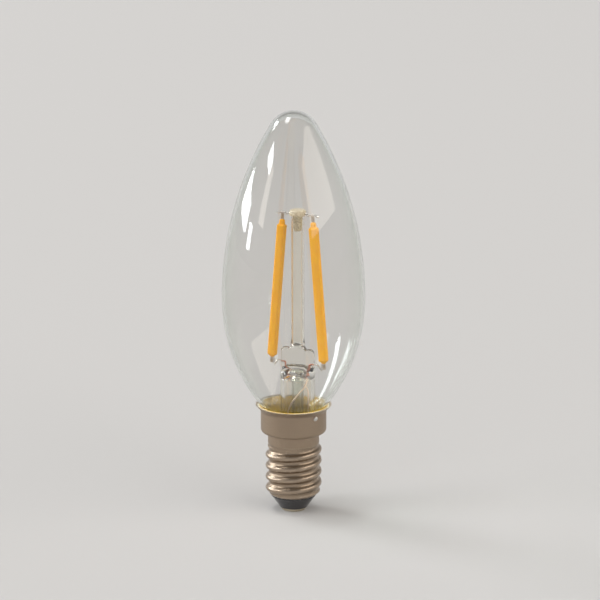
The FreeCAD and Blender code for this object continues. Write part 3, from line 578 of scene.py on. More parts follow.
class Effects:
    """The shared effects, each a node group that is built once."""

    def __init__(self) -> None:
        """Build every group."""
        self.grain = self.make_grain()
        self.wear = self.make_wear()
        self.dust = self.make_dust()
        self.lines = self.make_lines()

    @staticmethod
    def make_grain() -> bpy.types.NodeTree:
        """Build fine grain.

        Returns:
            The group: a mask between 0 and 1, whose spots have the given size in millimetres,
            and its height.
        """
        inputs = {"Size": 0.2, "Contrast": 1.0}
        tree, graph, inward, outward = effect("grain", inputs, ["Mask", "Height"])
        noise = graph.noise(graph.place(), graph.per(inward.outputs["Size"]), 4.0)
        spread = graph.maths("SUBTRACT", noise, 0.5)
        for factor in (inward.outputs["Contrast"], 3.0):
            spread = graph.maths("MULTIPLY", spread, factor)
        graph.send(outward, Mask=graph.maths("ADD", spread, 0.5, clamp=True), Height=noise)
        return tree

    @staticmethod
    def make_wear() -> bpy.types.NodeTree:
        """Build edge wear.

        Returns:
            The group: a mask that is 1 on rubbed edges, and one that is 1 in hollows, both patchy.
        """
        inputs = {"Reach": 0.06, "Patch": 0.8}
        tree, graph, inward, outward = effect("edge_wear", inputs, ["Edge", "Hollow"])
        sharpness = graph.maths("SUBTRACT", graph.add("NewGeometry").outputs["Pointiness"], 0.5)
        noise = graph.noise(graph.place(), graph.per(inward.outputs["Patch"]))
        patchy = graph.ranged(noise, 0.35, 0.65, 0.4, 1.0)
        for label, sign in (("Edge", 1.0), ("Hollow", -1.0)):
            above = graph.maths("MULTIPLY", sharpness, sign)
            share = graph.maths("DIVIDE", above, inward.outputs["Reach"], clamp=True)
            graph.send(outward, **{label: graph.maths("MULTIPLY", share, patchy)})
        return tree

    @staticmethod
    def make_dust() -> bpy.types.NodeTree:
        """Build dust.

        Returns:
            The group: a mask that is 1 where fine dust lies on faces that look up.
        """
        tree, graph, inward, outward = effect("dust", {"Amount": 0.3}, ["Mask"])
        up = graph.part(graph.add("NewGeometry").outputs["Normal"], "Z")
        lying = graph.ranged(up, 0.1, 0.9, 0.15, 1.0)
        specks = graph.ranged(graph.noise(graph.place(), 2600.0, 5.0), 0.52, 0.7, 0.0, 1.0)
        mask = graph.maths("MULTIPLY", lying, specks)
        graph.send(outward, Mask=graph.maths("MULTIPLY", mask, inward.outputs["Amount"]))
        return tree

    @staticmethod
    def make_lines() -> bpy.types.NodeTree:
        """Build lines left by drawing or turning.

        Returns:
            The group: a mask and a height, stretched round Z and along Z by the two sizes in
            millimetres.
        """
        inputs = {"Across": 0.1, "Upward": 4.0}
        tree, graph, inward, outward = effect("tool_lines", inputs, ["Mask", "Height"])
        place = graph.add("SeparateXYZ", {0: graph.place()})
        across, upward = (graph.per(inward.outputs[label]) for label in inputs)
        scales = {"X": across, "Y": across, "Z": upward}
        values = {
            axis: graph.maths("MULTIPLY", place.outputs[axis], scale)
            for axis, scale in scales.items()
        }
        noise = graph.noise(graph.add("CombineXYZ", values).outputs[0], 1.0, 4.0)
        graph.send(outward, Mask=graph.ranged(noise, 0.3, 0.7, 0.0, 1.0), Height=noise)
        return tree


# Finishes


def blank(name: str) -> tuple[bpy.types.Material, Graph]:
    """Start a material.

    Args:
        name: Its name.

    Returns:
        The material and its graph, without nodes.
    """
    material = bpy.data.materials.new(name)
    material.use_nodes = True
    return material, Graph(material.node_tree)


@dataclass(frozen=True)
class Finish:
    """How a material looks: its name, main colour and mean roughness."""

    name: str
    colour: Colour
    roughness: float

    @property
    def slot(self) -> str:
        """The name of the material slot that this finish stands for."""
        return self.name

    def build(self, effects: Effects) -> bpy.types.Material:
        """Build the material.

        Args:
            effects: The shared effects.

        Returns:
            The material.
        """
        material, graph = blank(self.name)
        graph.add("OutputMaterial", {"Surface": self.shade(graph, effects)})
        return material

    def shade(self, graph: Graph, effects: Effects) -> Socket:
        """Build the shader.

        Args:
            graph: The material's graph.
            effects: The shared effects.

        Returns:
            The shader's output.
        """
        raise NotImplementedError


@dataclass(frozen=True)
class ClearGlass(Finish):
    """Glass that is seen through, tinted where the view grazes it: partly its own tint through the
    longer path, partly painted shade and painted reflection along its outline.
    """

    # Partly the glass's own green, partly painted shade: a darker outline standing in for dark
    # surroundings.
    grazing_tint_and_painted_light: Colour = (0.66, 0.76, 0.66)
    haze: float = 0.0
    ripple: float = 0.004
    line: float = 0.0
    lamp_tint: Colour = (0.93, 0.95, 0.94)

    def shade(self, graph: Graph, effects: Effects) -> Socket:
        """Waves and drawing lines bend the view, and a smear hazes it.

        Args:
            graph: The material's graph.
            effects: The shared effects.

        Returns:
            The shader's output.
        """
        # The grazing tint is partly the glass's own colour through its longer path and partly
        # painted shade and painted reflection on the outline.
        facing = graph.add("LayerWeight", {"Blend": 0.2}).outputs["Facing"]
        grazed = graph.ranged(facing, 0.15, 0.75, 0.0, 1.0)
        height = graph.noise(graph.place(), 120.0, 1.0)
        if self.line:
            drawn = graph.group(effects.lines, across=0.5, upward=30.0).outputs["Height"]
            height = graph.maths("ADD", height, graph.maths("MULTIPLY", drawn, self.line))
        smear = graph.group(effects.grain, size=6.0, contrast=0.8).outputs["Mask"]
        glass = graph.surface({
            "Base Color": graph.mix(grazed, self.colour, self.grazing_tint_and_painted_light),
            "Roughness": graph.ranged(smear, 0.3, 0.9, self.roughness, self.roughness + self.haze),
            "IOR": GLASS_IOR,
            "Transmission Weight": 1.0,
            "Normal": graph.bump(height, self.ripple),
        })
        return graph.lit_through(glass, self.lamp_tint)


@dataclass(frozen=True)
class ThinGlass(Finish):
    """A thin tube wall: clear where it is seen head on, a mirror where the view grazes it.

    It doesn't bend what lies behind it, which the thicker glass round it would leave dark.
    """

    line: float = 0.6
    line_tint: Colour = (0.90, 0.92, 0.89)
    mirror_tint: Colour = (0.95, 0.96, 0.95)

    @property
    def slot(self) -> str:
        """The slot of the stem's glass, of which this is the thin part."""
        return "stem_glass"

    def shade(self, graph: Graph, effects: Effects) -> Socket:
        """Drawing lines tint the clear part and bend the mirrored one.

        Args:
            graph: The material's graph.
            effects: The shared effects.

        Returns:
            The shader's output.
        """
        drawn = graph.group(effects.lines, across=0.4, upward=25.0)
        normal = graph.bump(drawn.outputs["Height"], 0.01 * self.line)
        facing = graph.add("Fresnel", {"IOR": GLASS_IOR, "Normal": normal}).outputs[0]
        clear = graph.clear(graph.mix(drawn.outputs["Mask"], self.colour, self.line_tint))
        values = {"Color": self.mirror_tint, "Roughness": self.roughness, "Normal": normal}
        mirror = graph.add("BsdfAnisotropic", values).outputs["BSDF"]
        return graph.either(graph.ranged(facing, 0.0, 0.6, 0.0, 0.72), clear, mirror)


@dataclass(frozen=True)
class MilkyGlass(Finish):
    """Pressed glass with fine bubbles, whitish and half clear."""

    clear: float = 0.6
    bubble_colour: Colour = (0.88, 0.79, 0.62)
    lamp_tint: Colour = (0.85, 0.84, 0.80)

    def shade(self, graph: Graph, effects: Effects) -> Socket:
        """Bubbles whiten it and roughen it.

        Args:
            graph: The material's graph.
            effects: The shared effects.

        Returns:
            The shader's output.
        """
        bubbles = graph.group(effects.grain, size=0.25, contrast=1.2)
        mask = bubbles.outputs["Mask"]
        glass = graph.surface({
            "Base Color": graph.mix(mask, self.colour, self.bubble_colour),
            "Roughness": graph.ranged(mask, 0.0, 1.0, self.roughness * 0.6, self.roughness * 1.5),
            "IOR": GLASS_IOR,
            "Transmission Weight": self.clear,
            "Normal": graph.bump(bubbles.outputs["Height"], 0.03),
        })
        return graph.lit_through(glass, self.lamp_tint)


@dataclass(frozen=True)
class Metal(Finish):
    """Bare or plated metal with tool lines, rubbed edges and dull hollows.

    It may be satin from a height, and then has no rubbed edges up to a second height.
    """

    worn: Colour = (0.85, 0.82, 0.78)
    dull: Colour = (0.30, 0.26, 0.21)
    across: float = 0.08
    upward: float = 6.0
    relief: float = 0.002
    edge_reach: float = 0.05
    tarnish: float = 0.5
    satin: float = 0.0
    satin_from: float = 0.0
    satin_to: float = 0.0

    def shade(self, graph: Graph, effects: Effects) -> Socket:
        """Lines, wear and tarnish drive colour, roughness and bump.

        Args:
            graph: The material's graph.
            effects: The shared effects.

        Returns:
            The shader's output.
        """
        lines = graph.group(effects.lines, across=self.across, upward=self.upward)
        wear = graph.group(effects.wear, reach=self.edge_reach, patch=1.2)
        spots = graph.group(effects.grain, size=2.4, contrast=0.9).outputs["Mask"]
        fine = graph.group(effects.grain, size=0.12, contrast=1.0).outputs["Height"]
        stained = graph.maths("MULTIPLY", spots, self.tarnish * 0.35)
        hollow = graph.maths("ADD", wear.outputs["Hollow"], stained, clamp=True)
        colour = graph.mix(graph.maths("MULTIPLY", hollow, self.tarnish), self.colour, self.dull)
        edge = wear.outputs["Edge"]
        low, high = self.roughness * 0.75, self.roughness * 1.25
        rough = graph.ranged(lines.outputs["Mask"], 0.0, 1.0, low, high)
        rough = graph.maths("ADD", rough, graph.maths("MULTIPLY", hollow, 0.18))
        if self.satin:
            height = graph.part(graph.place(), "Z")
            start, stop = self.satin_from * MM, (self.satin_from + 0.6) * MM
            above = graph.ranged(height, start, stop, 0.0, 1.0)
            rough = graph.maths("ADD", rough, graph.maths("MULTIPLY", above, self.satin))
            start, stop = (self.satin_to - 0.3) * MM, self.satin_to * MM
            smooth = graph.maths("MULTIPLY", above, graph.ranged(height, start, stop, 1.0, 0.0))
            edge = graph.maths("MULTIPLY", edge, graph.maths("SUBTRACT", 1.0, smooth))
        height = graph.maths("ADD", lines.outputs["Height"], graph.maths("MULTIPLY", fine, 0.4))
        return graph.surface({
            "Base Color": graph.mix(edge, colour, self.worn),
            "Metallic": 1.0,
            "Roughness": rough,
            "Normal": graph.bump(height, self.relief),
        })


@dataclass(frozen=True)
class Grainy(Finish):
    """A matt or glossy body colour with grain, such as phosphor, cement, packages and lacquer."""

    second: Colour = (0.5, 0.5, 0.5)
    grain_size: float = 0.15
    relief: float = 0.01
    blotch: float = 2.0
    coat: float = 0.0
    soft: float = 0.0
    gloss: float = 0.5
    # Painted highlight: a pale band at a given radius from the axis, whatever the light.
    painted_highlight_colour: Colour = (0.0, 0.0, 0.0)
    painted_highlight_radius: float = 0.0
    painted_highlight_fade: float = 0.25
    dusty: float = 0.0
    dust_colour: Colour = (0.62, 0.58, 0.52)

    def shade(self, graph: Graph, effects: Effects) -> Socket:
        """Grain and larger blotches mix two colours; a rim may be paler, a painted highlight, and
        dust may lie on top.

        Args:
            graph: The material's graph.
            effects: The shared effects.

        Returns:
            The shader's output.
        """
        grain = graph.group(effects.grain, size=self.grain_size, contrast=1.0)
        mask = grain.outputs["Mask"]
        blotches = graph.group(effects.grain, size=self.blotch, contrast=0.8).outputs["Mask"]
        share = graph.maths("MULTIPLY", graph.maths("ADD", mask, blotches), 0.5)
        colour = graph.mix(share, self.colour, self.second)
        # Painted highlight: the rim is paler at a fixed radius, not lit by any lamp.
        if self.painted_highlight_radius:
            flat = {0: graph.place(), 1: (1.0, 1.0, 0.0)}
            level = graph.add("VectorMath", flat, operation="MULTIPLY").outputs[0]
            radius = graph.add("VectorMath", {0: level}, operation="LENGTH").outputs["Value"]
            start = (self.painted_highlight_radius - self.painted_highlight_fade) * MM
            stop = (self.painted_highlight_radius + self.painted_highlight_fade) * MM
            colour = graph.mix(graph.ranged(radius, start, stop, 0.0, 1.0), colour, self.painted_highlight_colour)
        rough = graph.ranged(mask, 0.0, 1.0, self.roughness * 0.85, self.roughness * 1.15)
        if self.dusty:
            dust = graph.group(effects.dust, amount=self.dusty).outputs["Mask"]
            colour = graph.mix(dust, colour, self.dust_colour)
            rough = graph.maths("ADD", rough, graph.maths("MULTIPLY", dust, 0.3))
        return graph.surface({
            "Base Color": colour,
            "Roughness": rough,
            "Normal": graph.bump(grain.outputs["Height"], self.relief),
            "Specular IOR Level": self.gloss,
            "Coat Weight": self.coat,
            "Coat Roughness": 0.12,
            "Subsurface Weight": self.soft,
            "Subsurface Radius": (1.0, 0.5, 0.2),
            "Subsurface Scale": 0.4 * MM,
        })


class Slot(Enum):
    """The finishes of the bulb."""

    ENVELOPE = ClearGlass("clear_glass", (0.992, 0.993, 0.986), 0.0, ripple=0.006)
    # Its warm colour and golden grazing tint are painted reflection, standing in for the golden
    # cement glinting in the press.
    STEM = ClearGlass(
        "stem_glass", (0.985, 0.966, 0.915), 0.0, (0.78, 0.71, 0.50), 0.02, 0.003, 0.5
    )
    EXHAUST = ThinGlass("exhaust_glass", (0.97, 0.98, 0.97), 0.03)
    BUTTON = MilkyGlass("button_glass", (0.60, 0.46, 0.28), 0.28, 0.35)
    PHOSPHOR = Grainy(
        "phosphor_coat", (0.95, 0.46, 0.002), 0.55, (0.86, 0.37, 0.001), 0.10, 0.012, 1.6,
        soft=0.2, gloss=0.12,
    )
    # Dark brown: the colour partly stands in for dark surroundings mirrored in the tabs, a painted
    # reflection.
    TAB = Metal("tab_metal", (0.36, 0.28, 0.21), 0.34, (0.70, 0.60, 0.48))
    BRIGHT_WIRE = Metal(
        "bright_wire", (0.66, 0.62, 0.57), 0.22, tarnish=0.3, across=0.05, upward=3.0
    )
    SEAL_COPPER = Metal(
        "seal_copper", (0.60, 0.20, 0.12), 0.30, (0.80, 0.42, 0.30), (0.22, 0.05, 0.03)
    )
    LEAD_COPPER = Metal(
        "lead_copper", (0.92, 0.70, 0.55), 0.36, (0.96, 0.84, 0.72), (0.42, 0.22, 0.14)
    )
    # The pale cream rim near the lip is a painted highlight of the lip's edge; the rest is the
    # cement's own gold with darker blotches.
    CEMENT = Grainy(
        "golden_cement", (0.93, 0.58, 0.03), 0.30, (0.36, 0.18, 0.004), 0.45, 0.16, 1.3,
        gloss=0.8, painted_highlight_colour=(0.86, 0.79, 0.62), painted_highlight_radius=8.45,
    )
    # Darker and browner than bare nickel: the colour partly stands in for dark, warm surroundings
    # mirrored in the cap, a painted reflection.
    NICKEL = Metal(
        "nickel_plate", (0.35, 0.27, 0.198), 0.30, (0.60, 0.50, 0.40), across=2.5, upward=0.10,
        relief=0.0008, tarnish=0.45, satin=0.13, satin_from=17.2, satin_to=26.2,
    )
    SOLDER = Metal("solder", (0.58, 0.57, 0.55), 0.36, across=0.6, upward=0.6, relief=0.01)
    BLACK_GLASS = Grainy(
        "black_insulator", (0.012, 0.012, 0.014), 0.12, (0.022, 0.020, 0.022), 0.3, 0.004, 2.5,
        coat=0.4, dusty=0.35,
    )
    CONTACT = Metal(
        "contact_metal", (0.58, 0.50, 0.36), 0.28, (0.80, 0.76, 0.66), across=0.15, upward=0.15
    )
    BOARD = Grainy(
        "circuit_board", (0.03, 0.13, 0.06), 0.42, (0.05, 0.18, 0.09), 0.12, 0.006, coat=0.3
    )
    EPOXY = Grainy("black_epoxy", (0.02, 0.02, 0.02), 0.5, (0.035, 0.033, 0.03), 0.08, 0.006)
    CAN = Metal("capacitor_can", (0.60, 0.61, 0.62), 0.26, across=1.5, upward=0.2)
    LACQUER = Grainy(
        "resistor_coat", (0.12, 0.21, 0.28), 0.4, (0.09, 0.16, 0.22), 0.15, 0.008, coat=0.4
    )


class Paints:
    """The materials, each built once from its finish."""

    def __init__(self) -> None:
        """Build the effects and every material."""
        effects = Effects()
        self.made = {slot: slot.value.build(effects) for slot in Slot}

    def put(self, item: bpy.types.Object, slot: Slot) -> None:
        """Dress a piece in one of the finishes."""
        dress(item, self.made[slot])

    def show(self, name: str, shell: Shell, node: str, slot: Slot, sharp: float = 40.0) -> None:
        """Make a piece that stands for a CAD node, in one of the finishes.

        Args:
            name: The piece's name.
            shell: Its points and faces.
            node: The CAD node.
            slot: The finish.
            sharp: Degrees between two faces from which their edge is sharp.
        """
        self.put(piece(name, shell, [node], sharp), slot)


# Sub-assemblies


@dataclass
class GlassEnvelope:
    """The blown envelope: neck, lower flank, upper flank and tip as tangent arcs."""

    globe_radius: float = 17.49
    globe_height: float = 53.9
    lower_curve: float = 43.5
    neck_radius: float = 7.3
    neck_curve: float = 4.0
    neck_bottom: float = 22.4
    tip_radius: float = 6.4
    height: float = 100.0
    wall: float = 0.65
    steps: int = 144
    spacing: float = 0.62

    def hubs(self) -> list[tuple[float, float, float, float]]:
        """Where the arcs turn.

        Returns:
            Centre, radius and side of each arc: neck, lower flank, upper flank, tip.
        """
        tip_height = self.height - self.tip_radius
        rise = tip_height - self.globe_height
        gain = self.globe_radius - self.tip_radius
        upper = (rise ** 2 + self.globe_radius ** 2 - self.tip_radius ** 2) / (2 * gain)
        span = self.lower_curve + self.neck_curve
        reach = self.neck_radius + self.neck_curve - self.globe_radius + self.lower_curve
        neck_height = self.globe_height - math.sqrt(span ** 2 - reach ** 2)
        return [
            (self.neck_radius + self.neck_curve, neck_height, self.neck_curve, -1),
            (self.globe_radius - self.lower_curve, self.globe_height, self.lower_curve, 1),
            (self.globe_radius - upper, self.globe_height, upper, 1),
            (0.0, tip_height, self.tip_radius, 1),
        ]

    def flank(self, inset: float) -> Outline:
        """The side from the neck's lower end to the tip.

        Args:
            inset: How far it lies inside the outer face.

        Returns:
            Radius and height of each point.
        """
        neck, lower, upper, tip = self.hubs()
        to_neck = math.atan2(neck[1] - lower[1], neck[0] - lower[0])
        to_tip = math.atan2(tip[1] - upper[1], tip[0] - upper[0])
        spans = [
            (neck, math.pi, math.pi + to_neck),
            (lower, to_neck, 0.0),
            (upper, 0.0, to_tip),
            (tip, to_tip, math.pi / 2),
        ]
        neck_wall = self.neck_radius - inset
        outline: Outline = [(neck_wall, self.neck_bottom), (neck_wall, neck[1])]
        for (across, height, radius, side), start, stop in spans:
            radius -= inset * side
            count = max(10, round(abs(stop - start) * radius / self.spacing))
            for index in range(1, count + 1):
                angle = start + (stop - start) * index / count
                out, up = radius * math.cos(angle), radius * math.sin(angle)
                outline.append((across + out, height + up))
        outline[-1] = (0.0, self.height - inset)
        return outline

    def build(self, paints: Paints) -> None:
        """Make the envelope as one closed wall."""
        shell = lathe(self.flank(0.0)[::-1] + self.flank(self.wall), self.steps)
        paints.show("envelope", shell, "glass_envelope", Slot.ENVELOPE, 60)


@dataclass
class Mount:
    """The glass inside the envelope: the flare with its press, exhaust tube, column and button."""

    shift: float = 1.15
    flange_bottom: float = 21.5
    flange_top: float = 22.4
    flange_radius: float = 7.3
    flare_radius: float = 4.25
    flare_wall: float = 1.0
    shoulder: float = 36.6
    shoulder_bend: float = 1.6
    bore_top: float = 35.3
    press_half: float = 2.4
    press_depth: float = 2.6
    press_bend: float = 1.9
    press_edge: float = 0.9
    dome_foot: float = 33.7
    dome_rise: float = 1.9
    press_top: float = 42.4
    lobe_spread: float = 3.25
    lobe_radius: float = 1.25
    lobe_top: float = 41.6
    exhaust_radius: float = 1.5
    exhaust_wall: float = 0.5
    exhaust_tip: float = 15.5
    column_radius: float = 1.6
    column_wall: float = 0.35
    column_top: float = 74.5
    button_radius: float = 2.05
    button_height: float = 1.5
    shank_length: float = 3.8
    shank_tip: float = 0.95
    flange_blend: float = 1.3
    press_blend: float = 1.1
    lobe_blend: float = 0.7
    lobe_bend: float = 1.15
    bore_blend: float = 0.25
    swell: float = 0.25
    steps: int = 64
    grain: float = 0.17

    def stem_field(self, points: np.ndarray) -> np.ndarray:
        """The field of the flare with its flange and its press.

        Args:
            points: Points in the envelope's frame.

        Returns:
            Distances, below zero inside.
        """
        across, deep, height = points[:, 0] - self.shift, points[:, 1], points[:, 2]
        radii = np.hypot(across, deep)
        low, high = self.flange_bottom - 4, self.shoulder
        tube = drum(radii, height, self.flare_radius, low, high, self.shoulder_bend)
        low, high = self.flange_bottom, self.flange_top
        flange_radii = np.hypot(points[:, 0], deep)
        flange = drum(flange_radii, height, self.flange_radius, low, high, 0.3)
        glass = merged(tube, flange, self.flange_blend)
        out = np.abs(across) - (self.press_half - self.press_bend)
        up = height - (self.press_top - self.press_bend)
        front = cornered(out, up) + (self.press_edge - self.press_bend)
        through = np.abs(deep) - (self.press_depth / 2 - self.press_edge)
        slab = cornered(front, through) - self.press_edge
        slab = np.maximum(slab, self.bore_top + 0.8 - height)
        glass = merged(glass, slab, self.press_blend)
        low, high = self.bore_top + 0.6, self.lobe_top
        for side in (-1, 1):
            lobe_radii = np.hypot(across - side * self.lobe_spread, deep)
            lobe = drum(lobe_radii, height, self.lobe_radius, low, high, self.lobe_bend)
            glass = merged(glass, lobe, self.lobe_blend)
        glass = np.maximum(glass, self.flange_bottom - height)
        bore_radius = self.flare_radius - self.flare_wall
        risen = np.maximum(height - self.dome_foot, 0) / self.dome_rise
        dome = (np.sqrt((radii / bore_radius) ** 2 + risen ** 2) - 1) * self.dome_rise
        bore = np.where(height > self.dome_foot, dome, radii - bore_radius)
        return carved(glass, bore, self.bore_blend)

    def stem(self) -> Shell:
        """The flare with its press, drawn over a distance field so that the glass flows.

        Returns:
            The shell.
        """
        low = (-self.flange_radius - 0.5, -self.flange_radius - 0.5, self.flange_bottom - 0.6)
        high = (self.flange_radius + 0.6, self.flange_radius + 0.5, self.press_top + 0.6)
        return grown(self.stem_field, low, high, self.grain)

    def exhaust(self) -> Shell:
        """The exhaust tube, melted shut at its lower tip.

        Returns:
            The shell.
        """
        inner = self.exhaust_radius - self.exhaust_wall
        top = self.bore_top - 0.01
        outline = rounded([
            (0, self.exhaust_tip),
            (self.exhaust_radius, self.exhaust_tip, self.exhaust_radius * 0.9),
            (self.exhaust_radius, top),
            (inner, top),
            (inner, self.exhaust_tip + self.exhaust_wall, inner * 0.9),
            (0, self.exhaust_tip + self.exhaust_wall),
        ])
        return lathe(outline, self.steps, at=(self.shift, 0))

    def column(self) -> Shell:
        """The drawn tube that carries the button, swollen a little where it is melted on.

        Returns:
            The shell.
        """
        inner = self.column_radius - self.column_wall
        outline = [(inner, self.press_top)]
        for share, up in ((1.0, 0.0), (0.9, 0.25), (0.45, 0.7), (0.12, 1.2), (0.0, 1.8)):
            outline.append((self.column_radius + self.swell * share, self.press_top + up))
        outline += [(self.column_radius, self.column_top), (inner, self.column_top)]
        return lathe(outline, self.steps, closed=True, at=(self.shift, 0))

    def button(self) -> Shell:
        """The pressed button with the shank that hangs in the column.

        Returns:
            The shell.
        """
        shank = self.column_radius - self.column_wall - 0.04
        top = self.column_top + self.button_height
        outline = rounded([
            (0, self.column_top - self.shank_length),
            (self.shank_tip, self.column_top - self.shank_length, 0.5),
            (shank, self.column_top - 0.05, 0.2),
            (shank, self.column_top),
            (self.button_radius, self.column_top, 0.4),
            (self.button_radius, top, 0.55),
            (0, top),
        ])
        return lathe(outline, self.steps, at=(self.shift, 0))

    def build(self, paints: Paints) -> None:
        """Make all the glass of the stem.

        Args:
            paints: The materials.
        """
        paints.show("stem", self.stem(), "stem_flare", Slot.STEM, 70)
        paints.show("exhaust", self.exhaust(), "exhaust_tube", Slot.EXHAUST)
        paints.show("column", self.column(), "column_tube", Slot.STEM)
        paints.show("button", self.button(), "column_button", Slot.BUTTON)


@dataclass
class Filaments:
    """The two coated sticks with their tabs, the bridge wire above and the leads below."""

    shift: float = 1.15
    width: float = 2.3
    depth: float = 1.75
    top: float = 72.0
    bottom: float = 38.9
    spread_top: float = 4.32
    spread_bottom: float = 7.14
    neck_width: float = 1.3
    neck_depth: float = 0.9
    neck_top: float = 1.3
    neck_bottom: float = 0.5
    tab_width: float = 0.8
    tab_thick: float = 0.3
    tab_top: float = 1.5
    tab_bottom: float = 1.4
    bridge_radius: float = 0.225
    bridge_tail: float = 1.7
    bridge_sag: float = 0.4
    button_radius: float = 2.05
    wire_radius: float = 0.2
    wire_bend: float = 0.5
    press_radius: float = 4.5
    seal_exit: float = 37.9
    lead_drop: float = 0.5
    gap: float = 0.02
    dome: float = 0.45
    squareness: float = 0.55
    stations: int = 150
    sides: int = 40
    weld_depth: float = 0.05
    weld_length: float = 0.22
    weld_width: float = 0.2

    def __post_init__(self) -> None:
        """Work out the lean and length of the sticks."""
        self.lean = (self.spread_bottom - self.spread_top) / (self.top - self.bottom)
        self.slant = math.hypot(self.lean, 1)
        self.half = (self.top - self.bottom) / 2 * self.slant
        self.reach_top = self.half + self.neck_top + self.tab_top
        self.reach_bottom = self.half + self.neck_bottom + self.tab_bottom

    def spot(self, side: int, along_stick: float, across: float, deep: float = 0.0) -> np.ndarray:
        """A point of a stick.

        Args:
            side: 1 for the right-hand stick, -1 for the left.
            along_stick: Distance up from its middle.
            across: Distance away from the mount's axis, across the stick.
            deep: Distance back.

        Returns:
            The point.
        """
        out = (self.spread_top + self.spread_bottom) / 2 - along_stick * self.lean / self.slant
        out += across / self.slant
        up = (self.top + self.bottom) / 2 + along_stick / self.slant
        up += across * self.lean / self.slant
        return np.array([self.shift + side * out, deep, up])

    def bridge_height(self) -> float:
        """Height of the bridge wire over the upper tabs."""
        tab_top = float(self.spot(1, self.reach_top, self.tab_width / 2)[2])
        return tab_top + self.bridge_radius + self.gap

    def coat_end(self, end: int, length: float) -> list[tuple[float, float, float]]:
        """One end of a coat: a domed stub that swells to the bar.

        Args:
            end: 1 for the stick's upper end, -1 for its lower.
            length: The stub's length.

        Returns:
            Distance up from the stick's middle, half width and half depth, from the tip inwards.
        """
        full = (self.width / 2, self.depth / 2)
        stub = (self.neck_width / 2, self.neck_depth / 2)
        dome = min(self.dome, length * 0.8)
        stations = []
        for index in range(9):
            angle = index / 8 * math.pi / 2
            place = self.half + length - dome + dome * math.cos(angle)
            grow = max(math.sin(angle), 0.02)
            stations.append((end * place, stub[0] * grow, stub[1] * grow))
        for index in range(1, 10):
            angle = index / 9 * math.pi / 2
            place = self.half - self.dome * (1 - math.cos(angle))
            wide, thick = (low + (high - low) * math.sin(angle) for low, high in zip(stub, full))
            stations.append((end * place, wide, thick))
        return stations

    def coat(self, side: int) -> Shell:
        """The coat of one stick, a soft bar with a domed stub at each end.

        Args:
            side: 1 for the right-hand stick, -1 for the left.

        Returns:
            The shell.
        """
        shape = np.random.default_rng(40 + side)
        waves = shape.uniform(0, TURN, (4,))
        full = (self.width / 2, self.depth / 2)
        lower = self.coat_end(-1, self.neck_bottom)
        upper = self.coat_end(1, self.neck_top)
        start, stop = lower[-1][0], upper[-1][0]
        count = self.stations
        steps = [start + (stop - start) * index / count for index in range(1, count)]
        stations = [*lower, *((place, *full) for place in steps), *upper[::-1]]
        angles = np.arange(self.sides) / self.sides * TURN
        turns = (np.cos(angles), np.sin(angles))
        section = [np.sign(turn) * np.abs(turn) ** self.squareness for turn in turns]
        rows = [self.spot(side, stations[0][0] - 0.005, 0)[None, :]]
        for place, wide, thick in stations:
            ripple = 1 + 0.012 * math.sin(place * 1.7 + waves[0])
            ripple += 0.008 * math.sin(place * 4.1 + waves[1])
            sway = 0.018 * math.sin(place * 0.9 + waves[2])
            deep_ripple = 1 + 0.015 * math.sin(place * 2.3 + waves[3])
            across = min(wide * ripple, full[0]) * section[0] + sway * (wide < full[0])
            deep = min(thick * deep_ripple, full[1]) * section[1]
            rows.append(np.array([self.spot(side, place, *flat) for flat in zip(across, deep)]))
        rows.append(self.spot(side, stations[-1][0] + 0.005, 0)[None, :])
        return skin(rows)

    def tab(self, side: int, end: int) -> Shell:
        """One metal tab, a flat strip with broken edges and a pressed weld spot.

        Args:
            side: 1 for the right-hand stick, -1 for the left.
            end: 1 for its upper end, -1 for its lower.

        Returns:
            The shell.
        """
        begin = self.half + (self.neck_top if end > 0 else self.neck_bottom)
        length = self.tab_top if end > 0 else self.tab_bottom
        half_width, half_thick = self.tab_width / 2, self.tab_thick / 2
        broken = 0.05
        corners = rounded([
            (0, -half_thick),
            (half_width, -half_thick, broken),
            (half_width, half_thick, broken),
            (-half_width, half_thick, broken),
            (-half_width, -half_thick, broken),
            (0, -half_thick),
        ], 30)[:-1]
        inner = [(begin + length * (0.04 + 0.92 * index / 24), 1.0) for index in range(25)]
        tip = begin + length
        rows = []
        for place, shrink in [(begin, 0.0), (begin, 0.9), *inner, (tip, 0.9), (tip, 0.0)]:
            off = (place - (begin + length / 2)) / self.weld_length
            dent = self.weld_depth * math.exp(-off ** 2)
            row = []
            for across, deep in corners:
                pressed = math.exp(-(across / self.weld_width) ** 2) * dent
                deep = (deep - math.copysign(pressed, deep)) * shrink
                row.append(self.spot(side, end * place, across * shrink, deep))
            rows.append(np.array(row) if shrink else np.array([self.spot(side, end * place, 0)]))
        return skin(rows)

    def bridge(self) -> Shell:
        """The bridge wire, through the button and over both upper tabs.

        Returns:
            The shell.
        """
        crest = self.bridge_height()
        dip = crest - self.bridge_sag
        tab_x = float(self.spot(1, self.reach_top, 0)[0]) - self.shift
        half = [
            (tab_x + self.bridge_tail, dip),
            (tab_x + self.tab_width + self.bridge_sag, dip),
            (tab_x + self.tab_width * 0.6, crest),
            (tab_x - self.tab_width * 0.6, crest),
            (tab_x - self.tab_width - self.bridge_sag, dip),
            (self.button_radius + self.bridge_radius, crest),
        ]
        corners = [(self.shift - across, 0, up) for across, up in half]
        corners += [(self.shift + across, 0, up) for across, up in half[::-1]]
        return wire(routed(corners, 0.4), self.bridge_radius)

